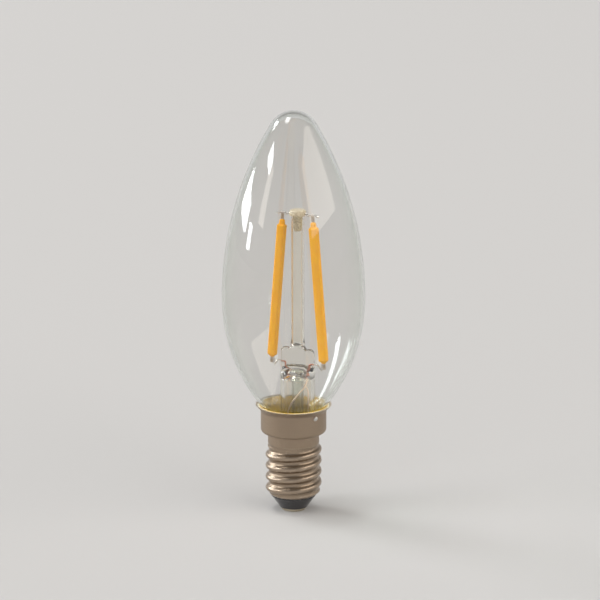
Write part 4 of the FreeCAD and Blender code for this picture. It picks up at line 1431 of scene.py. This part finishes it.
    def lead(self, side: int) -> Shell:
        """The wire from the press to a stick's lower tab.

        Args:
            side: 1 for the right-hand stick, -1 for the left.

        Returns:
            The shell.
        """
        beside = -(self.tab_width / 2 + self.wire_radius + self.gap)
        low = self.spot(side, -(self.reach_bottom + self.lead_drop), beside)
        weld = self.spot(side, -(self.half + self.neck_bottom + self.wire_radius), beside)
        corners = [
            (self.shift + side * (self.press_radius + self.gap), 0, self.seal_exit),
            (self.shift + side * (self.press_radius + self.wire_bend * 2), 0, self.seal_exit),
            low,
            weld,
        ]
        return wire(routed(corners, 0.5), self.wire_radius)

    def build(self, paints: Paints) -> None:
        """Make both sticks with what carries them.

        Args:
            paints: The materials.
        """
        for name, side in SIDES:
            coat = self.coat(side)
            paints.show(f"filament_coat_{name}", coat, f"filament_{name}", Slot.PHOSPHOR)
            for place, end in (("top", 1), ("bottom", -1)):
                node = f"filament_tab_{name}_{place}"
                paints.show(f"tab_{name}_{place}", self.tab(side, end), node, Slot.TAB)
            paints.show(f"lead_{name}", self.lead(side), f"lead_wire_{name}", Slot.BRIGHT_WIRE)
        paints.show("bridge", self.bridge(), "bridge_wire", Slot.BRIGHT_WIRE)


@dataclass
class SealedLeads:
    """The wires through the press and down the flare."""

    shift: float = 1.15
    ring: float = 2.45
    joint: float = 34.6
    straight: float = 0.9
    flange_bottom: float = 21.5
    wire_radius: float = 0.2
    wire_bend: float = 0.5
    seal_spread: float = 3.25
    seal_exit: float = 37.9
    press_radius: float = 4.5
    board_top: float = 19.0
    board_face: float = 1.7
    gap: float = 0.02
    bead: float = 0.34

    def seal(self, side: int) -> Shell:
        """The copper-clad wire that is sealed in a lobe.

        Args:
            side: 1 for the right-hand one, -1 for the left.

        Returns:
            The shell.
        """
        rise = self.wire_bend * 2
        corners = [
            (self.ring, self.joint),
            (self.ring, self.joint + rise),
            (self.seal_spread, self.seal_exit - rise * 1.2),
            (self.seal_spread, self.seal_exit),
            (self.press_radius + self.gap, self.seal_exit),
        ]
        path = routed([(self.shift + side * out, 0, up) for out, up in corners], 0.5)
        return wire(path, self.wire_radius)

    def outer(self, side: int) -> Shell:
        """The lead from a joint down to the board, with the weld bead at its upper end.

        Args:
            side: 1 for the right-hand joint's lead, which crosses in front, -1 for the left one's.

        Returns:
            The shell.
        """
        ring, start, pad = self.ring, self.joint - self.straight, self.board_top
        drop = start - self.flange_bottom
        face = self.board_face - self.wire_radius - self.gap
        if side > 0:
            corners = [
                (ring, 0, self.joint),
                (ring, 0, start),
                (ring * 0.96, -ring * 0.4, start - drop * 0.12),
                (ring * 0.1, -ring, start - drop * 0.37),
                (-ring * 0.7, -ring * 0.78, start - drop * 0.63),
                (-ring * 1.05, -ring * 0.2, start - drop * 0.95),
                (-ring * 1.25, face * 0.6, pad + 0.4),
                (-ring * 1.25, face, pad - 1.0),
                (-ring * 1.25, face, pad - 2.2),
            ]
        else:
            corners = [
                (-ring, 0, self.joint),
                (-ring, 0, start),
                (-ring * 0.7, ring * 0.75, start - drop * 0.08),
                (ring * 0.25, ring, start - drop * 0.15),
                (ring * 0.96, ring * 0.45, start - drop * 0.22),
                (ring * 1.03, ring * 0.3, start - drop * 0.45),
                (ring, ring * 0.4, self.flange_bottom),
                (ring, face, pad - 1.0),
                (ring, face, pad - 2.2),
            ]
        path = routed([(self.shift + across, deep, up) for across, deep, up in corners], 4.0, 0.42)
        outline = [(0, self.joint + 0.02)]
        for share, down in ((0.6, 0), (0.93, 0.12), (1, 0.32), (0.93, 0.52)):
            outline.append((self.bead * share, self.joint - down))
        outline += [(self.wire_radius, self.joint - 0.68), (0, self.joint - 0.7)]
        bead = lathe(outline, 24, at=(self.shift + side * ring, 0))
        return wire(path, self.wire_radius).joined(bead)

    def build(self, paints: Paints) -> None:
        """Make both sides.

        Args:
            paints: The materials.
        """
        for name, side in SIDES:
            paints.show(f"seal_{name}", self.seal(side), f"seal_wire_{name}", Slot.SEAL_COPPER)
            paints.show(f"outer_{name}", self.outer(side), f"outer_lead_{name}", Slot.LEAD_COPPER)


@dataclass
class Cap:
    """The screw cap: sheet shell with round thread, side solder, cement, insulator and contact."""

    lip_radius: float = 9.35
    lip_top: float = 27.05
    lip_start: float = 25.7
    skirt_radius: float = 8.1
    skirt_bottom: float = 20.1
    skirt_bend: float = 0.9
    waist_radius: float = 6.35
    waist_bottom: float = 17.2
    root: float = 6.145
    crest: float = 6.945
    pitch: float = 2.822
    start: float = 3.957
    turned: float = -20.5
    shell_bottom: float = 4.1
    mouth: float = 5.2
    shell_bend: float = 0.7
    sheet: float = 0.3
    solder_drop: float = 0.7
    solder_radius: float = 0.65
    solder_proud: float = 0.35
    cement_bottom: float = 22.9
    flange_bottom: float = 21.5
    lining_hole: float = 3.6
    neck_radius: float = 7.3
    neck_curve: float = 4.0
    neck_height: float = 24.49
    contact_radius: float = 3.0
    contact_height: float = 0.8
    rivet_radius: float = 0.9
    rivet_top: float = 5.9
    foot: float = 3.5
    shoulder: float = 5.6
    insulator_top: float = 5.4
    gap: float = 0.02
    sunk: float = 0.14
    steps: int = 256

    def thread_rise(self, height: np.ndarray, angle: np.ndarray) -> np.ndarray:
        """How far the thread stands out of its root.

        Args:
            height: Height of each point.
            angle: Its angle about the axis.

        Returns:
            The rise of each point, 0 in the root and where the thread has run out.
        """
        depth = self.crest - self.root
        half = self.pitch / 2
        bow = (half ** 2 + depth ** 2) / (4 * depth)
        turns = (height - self.start) / self.pitch - (angle - math.radians(self.turned)) / TURN
        off = np.abs(turns - np.round(turns)) * self.pitch
        near = np.sqrt(np.maximum(bow ** 2 - off ** 2, 0)) + depth - bow
        far = bow - np.sqrt(np.maximum(bow ** 2 - (half - off) ** 2, 0))
        rise = np.where(off < half / 2, near, far)
        foot = self.shell_bottom + self.shell_bend * 0.3
        low = np.clip((height - foot) / (self.pitch * 0.32), 0, 1)
        high = np.clip((self.waist_bottom - 0.15 - height) / (self.pitch * 0.42), 0, 1)
        fade = (3 * low ** 2 - 2 * low ** 3) * (3 * high ** 2 - 2 * high ** 3)
        return rise * fade

    def side(self, inset: float) -> Outline:
        """The shell's outline from its mouth to the lip, without the thread.

        Args:
            inset: How far it lies inside the outer face.

        Returns:
            Radius and height of each point.
        """
        floor = self.shell_bottom + inset
        wall = self.skirt_radius - inset
        return rounded([
            (self.mouth, floor),
            (self.root - inset, floor, self.shell_bend - inset),
            (self.root - inset, self.waist_bottom - 0.5 - inset),
            (self.waist_radius - inset, self.waist_bottom + 0.2 + inset, 0.3),
            (self.waist_radius - inset, self.skirt_bottom + inset, 0.25 + inset),
            (wall, self.skirt_bottom + inset, self.skirt_bend - inset),
            (wall, self.lip_start, 0.9),
            (self.lip_radius - inset, self.lip_top),
        ], 7.0)

    def shell(self) -> Shell:
        """The sheet-metal shell with the thread rolled into it.

        Returns:
            The shell.
        """
        angles = np.arange(self.steps) / self.steps * TURN
        rows = []
        for inset, spacing in ((0.0, 0.115), (self.sheet, 0.24)):
            outline = dense(self.side(inset), spacing)
            for radius, height in outline[::-1] if inset else outline:
                level = np.full(self.steps, height)
                wall = radius < self.waist_radius + 0.01 and height > self.shell_bottom + 0.35
                reach = radius + self.thread_rise(level, angles) * float(wall)
                ring = (reach * np.cos(angles), reach * np.sin(angles), level)
                rows.append(np.column_stack(ring))
        return skin(rows, closed=True)

    def throat(self, height: float) -> float:
        """Where the cement meets the glass that turns out from the neck.

        Args:
            height: The height.

        Returns:
            The radius there.
        """
        bend = self.neck_curve - self.gap
        off = math.sqrt(bend ** 2 - (height - self.neck_height) ** 2)
        return self.neck_radius + self.neck_curve - off

    def cement(self) -> Shell:
        """The ring of cement with an uneven top between neck and lip.

        Returns:
            The shell.
        """
        wall = self.skirt_radius - self.sheet - self.gap
        lip = self.lip_radius - self.sheet - self.gap
        glass = self.throat(self.lip_top)
        outline = [(self.neck_radius + self.gap, self.cement_bottom)]
        for index in range(9):
            height = self.neck_height + (self.lip_top - self.neck_height - 0.02) * index / 8
            outline.append((self.throat(height), height))
        crown = [(glass, self.lip_top - 0.02), (lip - 0.03, self.lip_top - 0.06)]
        outline += dense(crown, 0.12)[1:]
        outline += [(wall, self.lip_start), (wall, self.cement_bottom)]
        shell = lathe(outline, 200, closed=True)
        angles = np.arctan2(shell.points[:, 1], shell.points[:, 0])
        radii = np.hypot(shell.points[:, 0], shell.points[:, 1])
        on_top = (shell.points[:, 2] > self.lip_top - 0.1) & (radii > glass + 0.02)
        uneven = 0.05 * np.sin(angles * 3 + 0.7) + 0.03 * np.sin(angles * 11 + 2.1)
        uneven += 0.02 * np.sin(angles * 29 + radii * 7)
        shell.points[:, 2] -= np.where(on_top, self.sunk + uneven, 0)
        return shell.joined(self.lining())

    def lining(self) -> Shell:
        """The cement that has run in under the stem's flange.

        Returns:
            The shell.
        """
        wall = self.skirt_radius - self.sheet - self.gap * 3
        floor = self.skirt_bottom + self.sheet + self.gap * 3
        ceiling = self.flange_bottom - self.gap
        hole = self.lining_hole
        outline = rounded([
            (hole, (floor + ceiling) / 2),
            (hole, floor, 0.3),
            (wall - 0.6, floor, 0.5),
            (wall, ceiling - 0.2, 0.2),
            (wall - 0.1, ceiling),
            (hole + 0.2, ceiling, 0.25),
            (hole, (floor + ceiling) / 2),
        ])[:-1]
        return lathe(outline, 120, closed=True)

    def solder(self) -> Shell:
        """The drop of solder on the skirt, a little off round.

        Returns:
            The shell.
        """
        turn = math.radians(self.turned)
        seat = self.skirt_radius - 0.05
        top = self.skirt_radius + self.gap + self.solder_proud
        outline = [(0, seat), (self.solder_radius * 0.8, seat)]
        for index in range(1, 11):
            angle = index / 10 * math.pi / 2
            radius = self.solder_radius * math.cos(angle * 0.98) ** 0.7
            outline.append((radius, seat + (top - seat) * math.sin(angle)))
        outline.append((0, top))
        drop = lathe(outline, 40)
        stretch = 0.93 + 0.07 * np.sin(np.arctan2(drop.points[:, 1], drop.points[:, 0]) * 2 + 0.5)
        across, up = drop.points[:, 0] * stretch, drop.points[:, 1] * stretch
        out = drop.points[:, 2]
        drop.points = np.column_stack([
            out * math.cos(turn) - across * math.sin(turn),
            out * math.sin(turn) + across * math.cos(turn),
            self.lip_start - self.solder_drop + up,
        ])
        return drop

    def insulator(self) -> Shell:
        """The black glass between shell and contact, with a moulded step.

        Returns:
            The shell.
        """
        seat = self.shell_bottom - self.gap
        inside = self.shell_bottom + self.sheet + self.gap
        neck = self.mouth - self.gap
        flange = self.root - self.sheet - self.gap * 2
        bore = self.rivet_radius + self.gap
        return lathe(rounded([
            (bore, self.contact_height),
            (self.foot, self.contact_height, 0.12),
            (self.foot + 0.25, self.contact_height + 0.45, 0.3),
            (self.shoulder, seat - self.sheet, 0.25),
            (self.shoulder, seat, 0.08),
            (neck, seat),
            (neck, inside),
            (self.mouth + self.gap, inside),
            (flange, inside + self.shell_bend),
            (flange, self.insulator_top),
            (bore, self.insulator_top),
            (bore, self.contact_height),
        ])[:-1], 96, closed=True)

    def contact(self) -> Shell:
        """The centre contact, a flat disc with a soldered dimple round its rivet.

        Returns:
            The shell.
        """
        return lathe(rounded([
            (0, 0.12),
            (0.55, 0.10, 0.3),
            (1.0, 0.0, 0.3),
            (self.contact_radius, 0.0, 0.4),
            (self.contact_radius, self.contact_height, 0.06),
            (self.rivet_radius, self.contact_height),
            (self.rivet_radius, self.rivet_top, 0.1),
            (0, self.rivet_top),
        ]), 96)

    def build(self, paints: Paints) -> None:
        """Make every piece of the cap.

        Args:
            paints: The materials.
        """
        paints.show("cap", self.shell(), "cap_shell", Slot.NICKEL, 50)
        paints.show("solder_drop", self.solder(), "side_solder", Slot.SOLDER)
        paints.show("cement_ring", self.cement(), "basing_cement", Slot.CEMENT)
        paints.show("insulator", self.insulator(), "cap_insulator", Slot.BLACK_GLASS)
        paints.show("contact", self.contact(), "centre_contact", Slot.CONTACT)


@dataclass
class Driver:
    """The board and its parts inside the cap, which keep their CAD solids."""

    finishes: dict[str, Slot] = field(default_factory=lambda: {
        "driver_board": Slot.BOARD,
        "bridge_rectifier": Slot.EPOXY,
        "driver_ic": Slot.EPOXY,
        "smoothing_capacitor": Slot.CAN,
        "fusible_resistor": Slot.LACQUER,
        "live_wire": Slot.LEAD_COPPER,
        "resistor_lead": Slot.LEAD_COPPER,
        "neutral_wire": Slot.LEAD_COPPER,
    })

    def build(self, paints: Paints) -> None:
        """Give each solid its material."""
        for node, slot in self.finishes.items():
            paints.put(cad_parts[node], slot)


# Stage


class Mirrored(Enum):
    """Which wall of the bulb mirrors a lamp, which is never seen straight through both."""

    NEAR = "the near wall"
    FAR = "the far wall"


@dataclass(frozen=True)
class Lamp:
    """A soft rectangular lamp: where it stands, the angles it spans and turns, its radiance."""

    name: str
    azimuth: float
    pitch: float
    wide: float
    high: float
    bright: float
    colour: Colour = (1.0, 1.0, 1.0)
    wall: Mirrored | None = None
    roll: float = 0.0
    away: float = 8000.0
    aim: float = 60.0


DAYLIGHT = (0.94, 0.97, 1.0)
COOL_LIGHT = (0.90, 0.96, 1.0)
WARM_LIGHT = (1.0, 0.93, 0.84)


@dataclass
class Studio:
    """Floor, backdrop, lamps and camera."""

    azimuth: float = 28.0
    pitch: float = 13.65
    distance: float = 585.3
    aim_height: float = 53.4
    aim_aside: float = 1.585
    lens: float = 144.0
    sensor: float = 36.0
    floor_reach: float = 2500.0
    floor_colour: Colour = (0.62, 0.61, 0.60)
    backdrop_colour: Colour = (0.64, 0.635, 0.63)
    ceiling_colour: Colour = (0.20, 0.19, 0.18)
    backdrop_top: float = 8.0
    ceiling_start: float = 38.0
    sky_light: float = 0.26
    fill_light: float = 0.9
    fill_pitch: float = 10.0
    sky_colour: Colour = (1.0, 0.985, 0.97)
    near_faces: float = 3.5
    lamps: tuple[Lamp, ...] = (
        Lamp("window_far_pane", -84, 8.5, 27, 7.5, 12.0, DAYLIGHT, Mirrored.NEAR),
        Lamp("window_near_pane", -58, 6, 7, 7, 12.0, DAYLIGHT, Mirrored.NEAR),
        Lamp("window_high", -51, 30.5, 17, 5.5, 14.0, DAYLIGHT, Mirrored.NEAR),
        Lamp("window_back", -97, 29.5, 16, 11, 12.0, DAYLIGHT, Mirrored.NEAR),
        Lamp("window_streak", -81, 18.5, 32, 8.5, 10.0, COOL_LIGHT, Mirrored.FAR, -32.0),
        Lamp("window_faint_streak", -108, 4.7, 11, 12, 4.2, COOL_LIGHT, Mirrored.FAR),
        Lamp("ceiling", -84, 70, 30, 13, 6.5),
        Lamp("wall_left", -37, 22, 12, 19, 2.2, WARM_LIGHT),
        Lamp("wall_right", 92, 29, 60, 31, 1.6, WARM_LIGHT),
    )

    def direction(self, azimuth: float, pitch: float) -> Vector:
        """The way from the bulb to something that stands round it.

        Args:
            azimuth: Degrees round it from the front.
            pitch: Degrees up.

        Returns:
            A vector of length 1.
        """
        turn, rise = math.radians(azimuth), math.radians(pitch)
        level = math.cos(rise)
        return Vector((math.sin(turn) * level, -math.cos(turn) * level, math.sin(rise)))

    def camera(self) -> None:
        """The camera at the photograph's angle."""
        turn = math.radians(self.azimuth)
        aside = (self.aim_aside * math.cos(turn), self.aim_aside * math.sin(turn))
        aim = Vector((*aside, self.aim_height))
        back = self.direction(self.azimuth, self.pitch)
        data = bpy.data.cameras.new("camera")
        data.lens = self.lens
        data.sensor_width = self.sensor
        data.clip_start = 0.01
        data.clip_end = 50
        item = linked("camera", data)
        item.location = (aim + back * self.distance) * MM
        item.rotation_euler = back.to_track_quat("Z", "Y").to_euler()
        bpy.context.scene.camera = item

    def floor(self) -> None:
        """A wide plain round floor."""
        material, graph = blank("floor")
        values = {"Base Color": self.floor_colour, "Roughness": 1.0, "Specular IOR Level": 0.0}
        graph.add("OutputMaterial", {"Surface": graph.surface(values)})
        mesh = bpy.data.meshes.new("floor")
        reach = self.floor_reach * MM
        angles = [TURN * index / 128 for index in range(128)]
        rim = [(reach * math.cos(angle), reach * math.sin(angle), 0) for angle in angles]
        mesh.from_pydata(rim, [], [tuple(range(len(rim)))])
        item = linked("floor", mesh)
        dress(item, material)

    def sky(self) -> None:
        """Soft light, fullest from the camera's side, seen as a backdrop and a dim ceiling."""
        world = bpy.data.worlds.new("studio")
        bpy.context.scene.world = world
        world.use_nodes = True
        graph = Graph(world.node_tree)
        path = graph.add("LightPath")
        seen = path.outputs["Is Camera Ray"]
        for kind in ("Transmission", "Glossy"):
            seen = graph.maths("MAXIMUM", seen, path.outputs[f"Is {kind} Ray"])
        way = graph.add("TexCoord").outputs["Generated"]
        front = tuple(self.direction(self.azimuth, self.fill_pitch))
        facing = graph.add("VectorMath", {0: way, 1: front}, operation="DOT_PRODUCT")
        fill = graph.maths("MAXIMUM", facing.outputs["Value"], 0.0)
        fill = graph.maths("MULTIPLY", fill, self.fill_light)
        strength = graph.maths("ADD", fill, self.sky_light)
        lit = graph.add("Background", {"Color": self.sky_colour, "Strength": strength})
        angles = (self.backdrop_top, self.ceiling_start)
        low, high = (math.sin(math.radians(angle)) for angle in angles)
        shade = graph.ranged(graph.part(way, "Z"), low, high, 0.0, 1.0)
        colour = graph.mix(shade, self.backdrop_colour, self.ceiling_colour)
        drop = graph.add("Background", {"Color": colour, "Strength": 1.0})
        graph.add("OutputWorld", {"Surface": graph.either(seen, lit.outputs[0], drop.outputs[0])})

    def light(self, lamp: Lamp) -> None:
        """Put up a soft rectangular lamp that faces the bulb.

        Args:
            lamp: Its place, size and brightness.
        """
        data = bpy.data.lights.new(lamp.name, "AREA")
        data.shape = "RECTANGLE"
        halves = [math.radians(span / 2) for span in (lamp.wide, lamp.high)]
        wide, high = (2 * lamp.away * math.tan(half) * MM for half in halves)
        data.size, data.size_y = wide, high
        data.energy = lamp.bright * wide * high * math.pi
        data.color = lamp.colour
        if lamp.wall:
            self.veil(data, lamp.wall)
        item = linked(lamp.name, data)
        back = self.direction(lamp.azimuth, lamp.pitch)
        item.location = (Vector((0, 0, lamp.aim)) + back * lamp.away) * MM
        turn = Quaternion((0, 0, 1), math.radians(lamp.roll))
        item.rotation_euler = (back.to_track_quat("Z", "Y") @ turn).to_euler()

    def veil(self, data: bpy.types.Light, wall: Mirrored) -> None:
        """Show a lamp in one wall's mirrored light only.

        The wall is told from the number of glass faces that the light went through.

        Args:
            data: The lamp.
            wall: The wall that mirrors it.
        """
        data.use_nodes = True
        graph = Graph(data.node_tree)
        path = graph.add("LightPath")
        faces = path.outputs["Transmission Depth"]
        through = graph.maths("GREATER_THAN", faces, self.near_faces)
        if wall is Mirrored.NEAR:
            shown = graph.maths("SUBTRACT", 1.0, through)
        else:
            mirrored = graph.maths("GREATER_THAN", path.outputs["Glossy Depth"], 0.5)
            shown = graph.maths("MULTIPLY", through, mirrored)
        lit = graph.add("Emission", {"Strength": shown}).outputs[0]
        graph.add("OutputLight", {"Surface": lit})

    def build(self) -> None:
        """Everything round the bulb."""
        self.camera()
        self.floor()
        self.sky()
        for lamp in self.lamps:
            self.light(lamp)
        bpy.context.scene.view_settings.view_transform = "Standard"


def main() -> None:
    """Build the bulb and its studio."""
    logging.basicConfig(level=logging.INFO, format="%(name)s: %(message)s")
    paints = Paints()
    GlassEnvelope().build(paints)
    Mount().build(paints)
    Filaments().build(paints)
    SealedLeads().build(paints)
    Cap().build(paints)
    Driver().build(paints)
    Studio().build()
    bpy.context.view_layer.update()


if __name__ == "__main__":
    main()
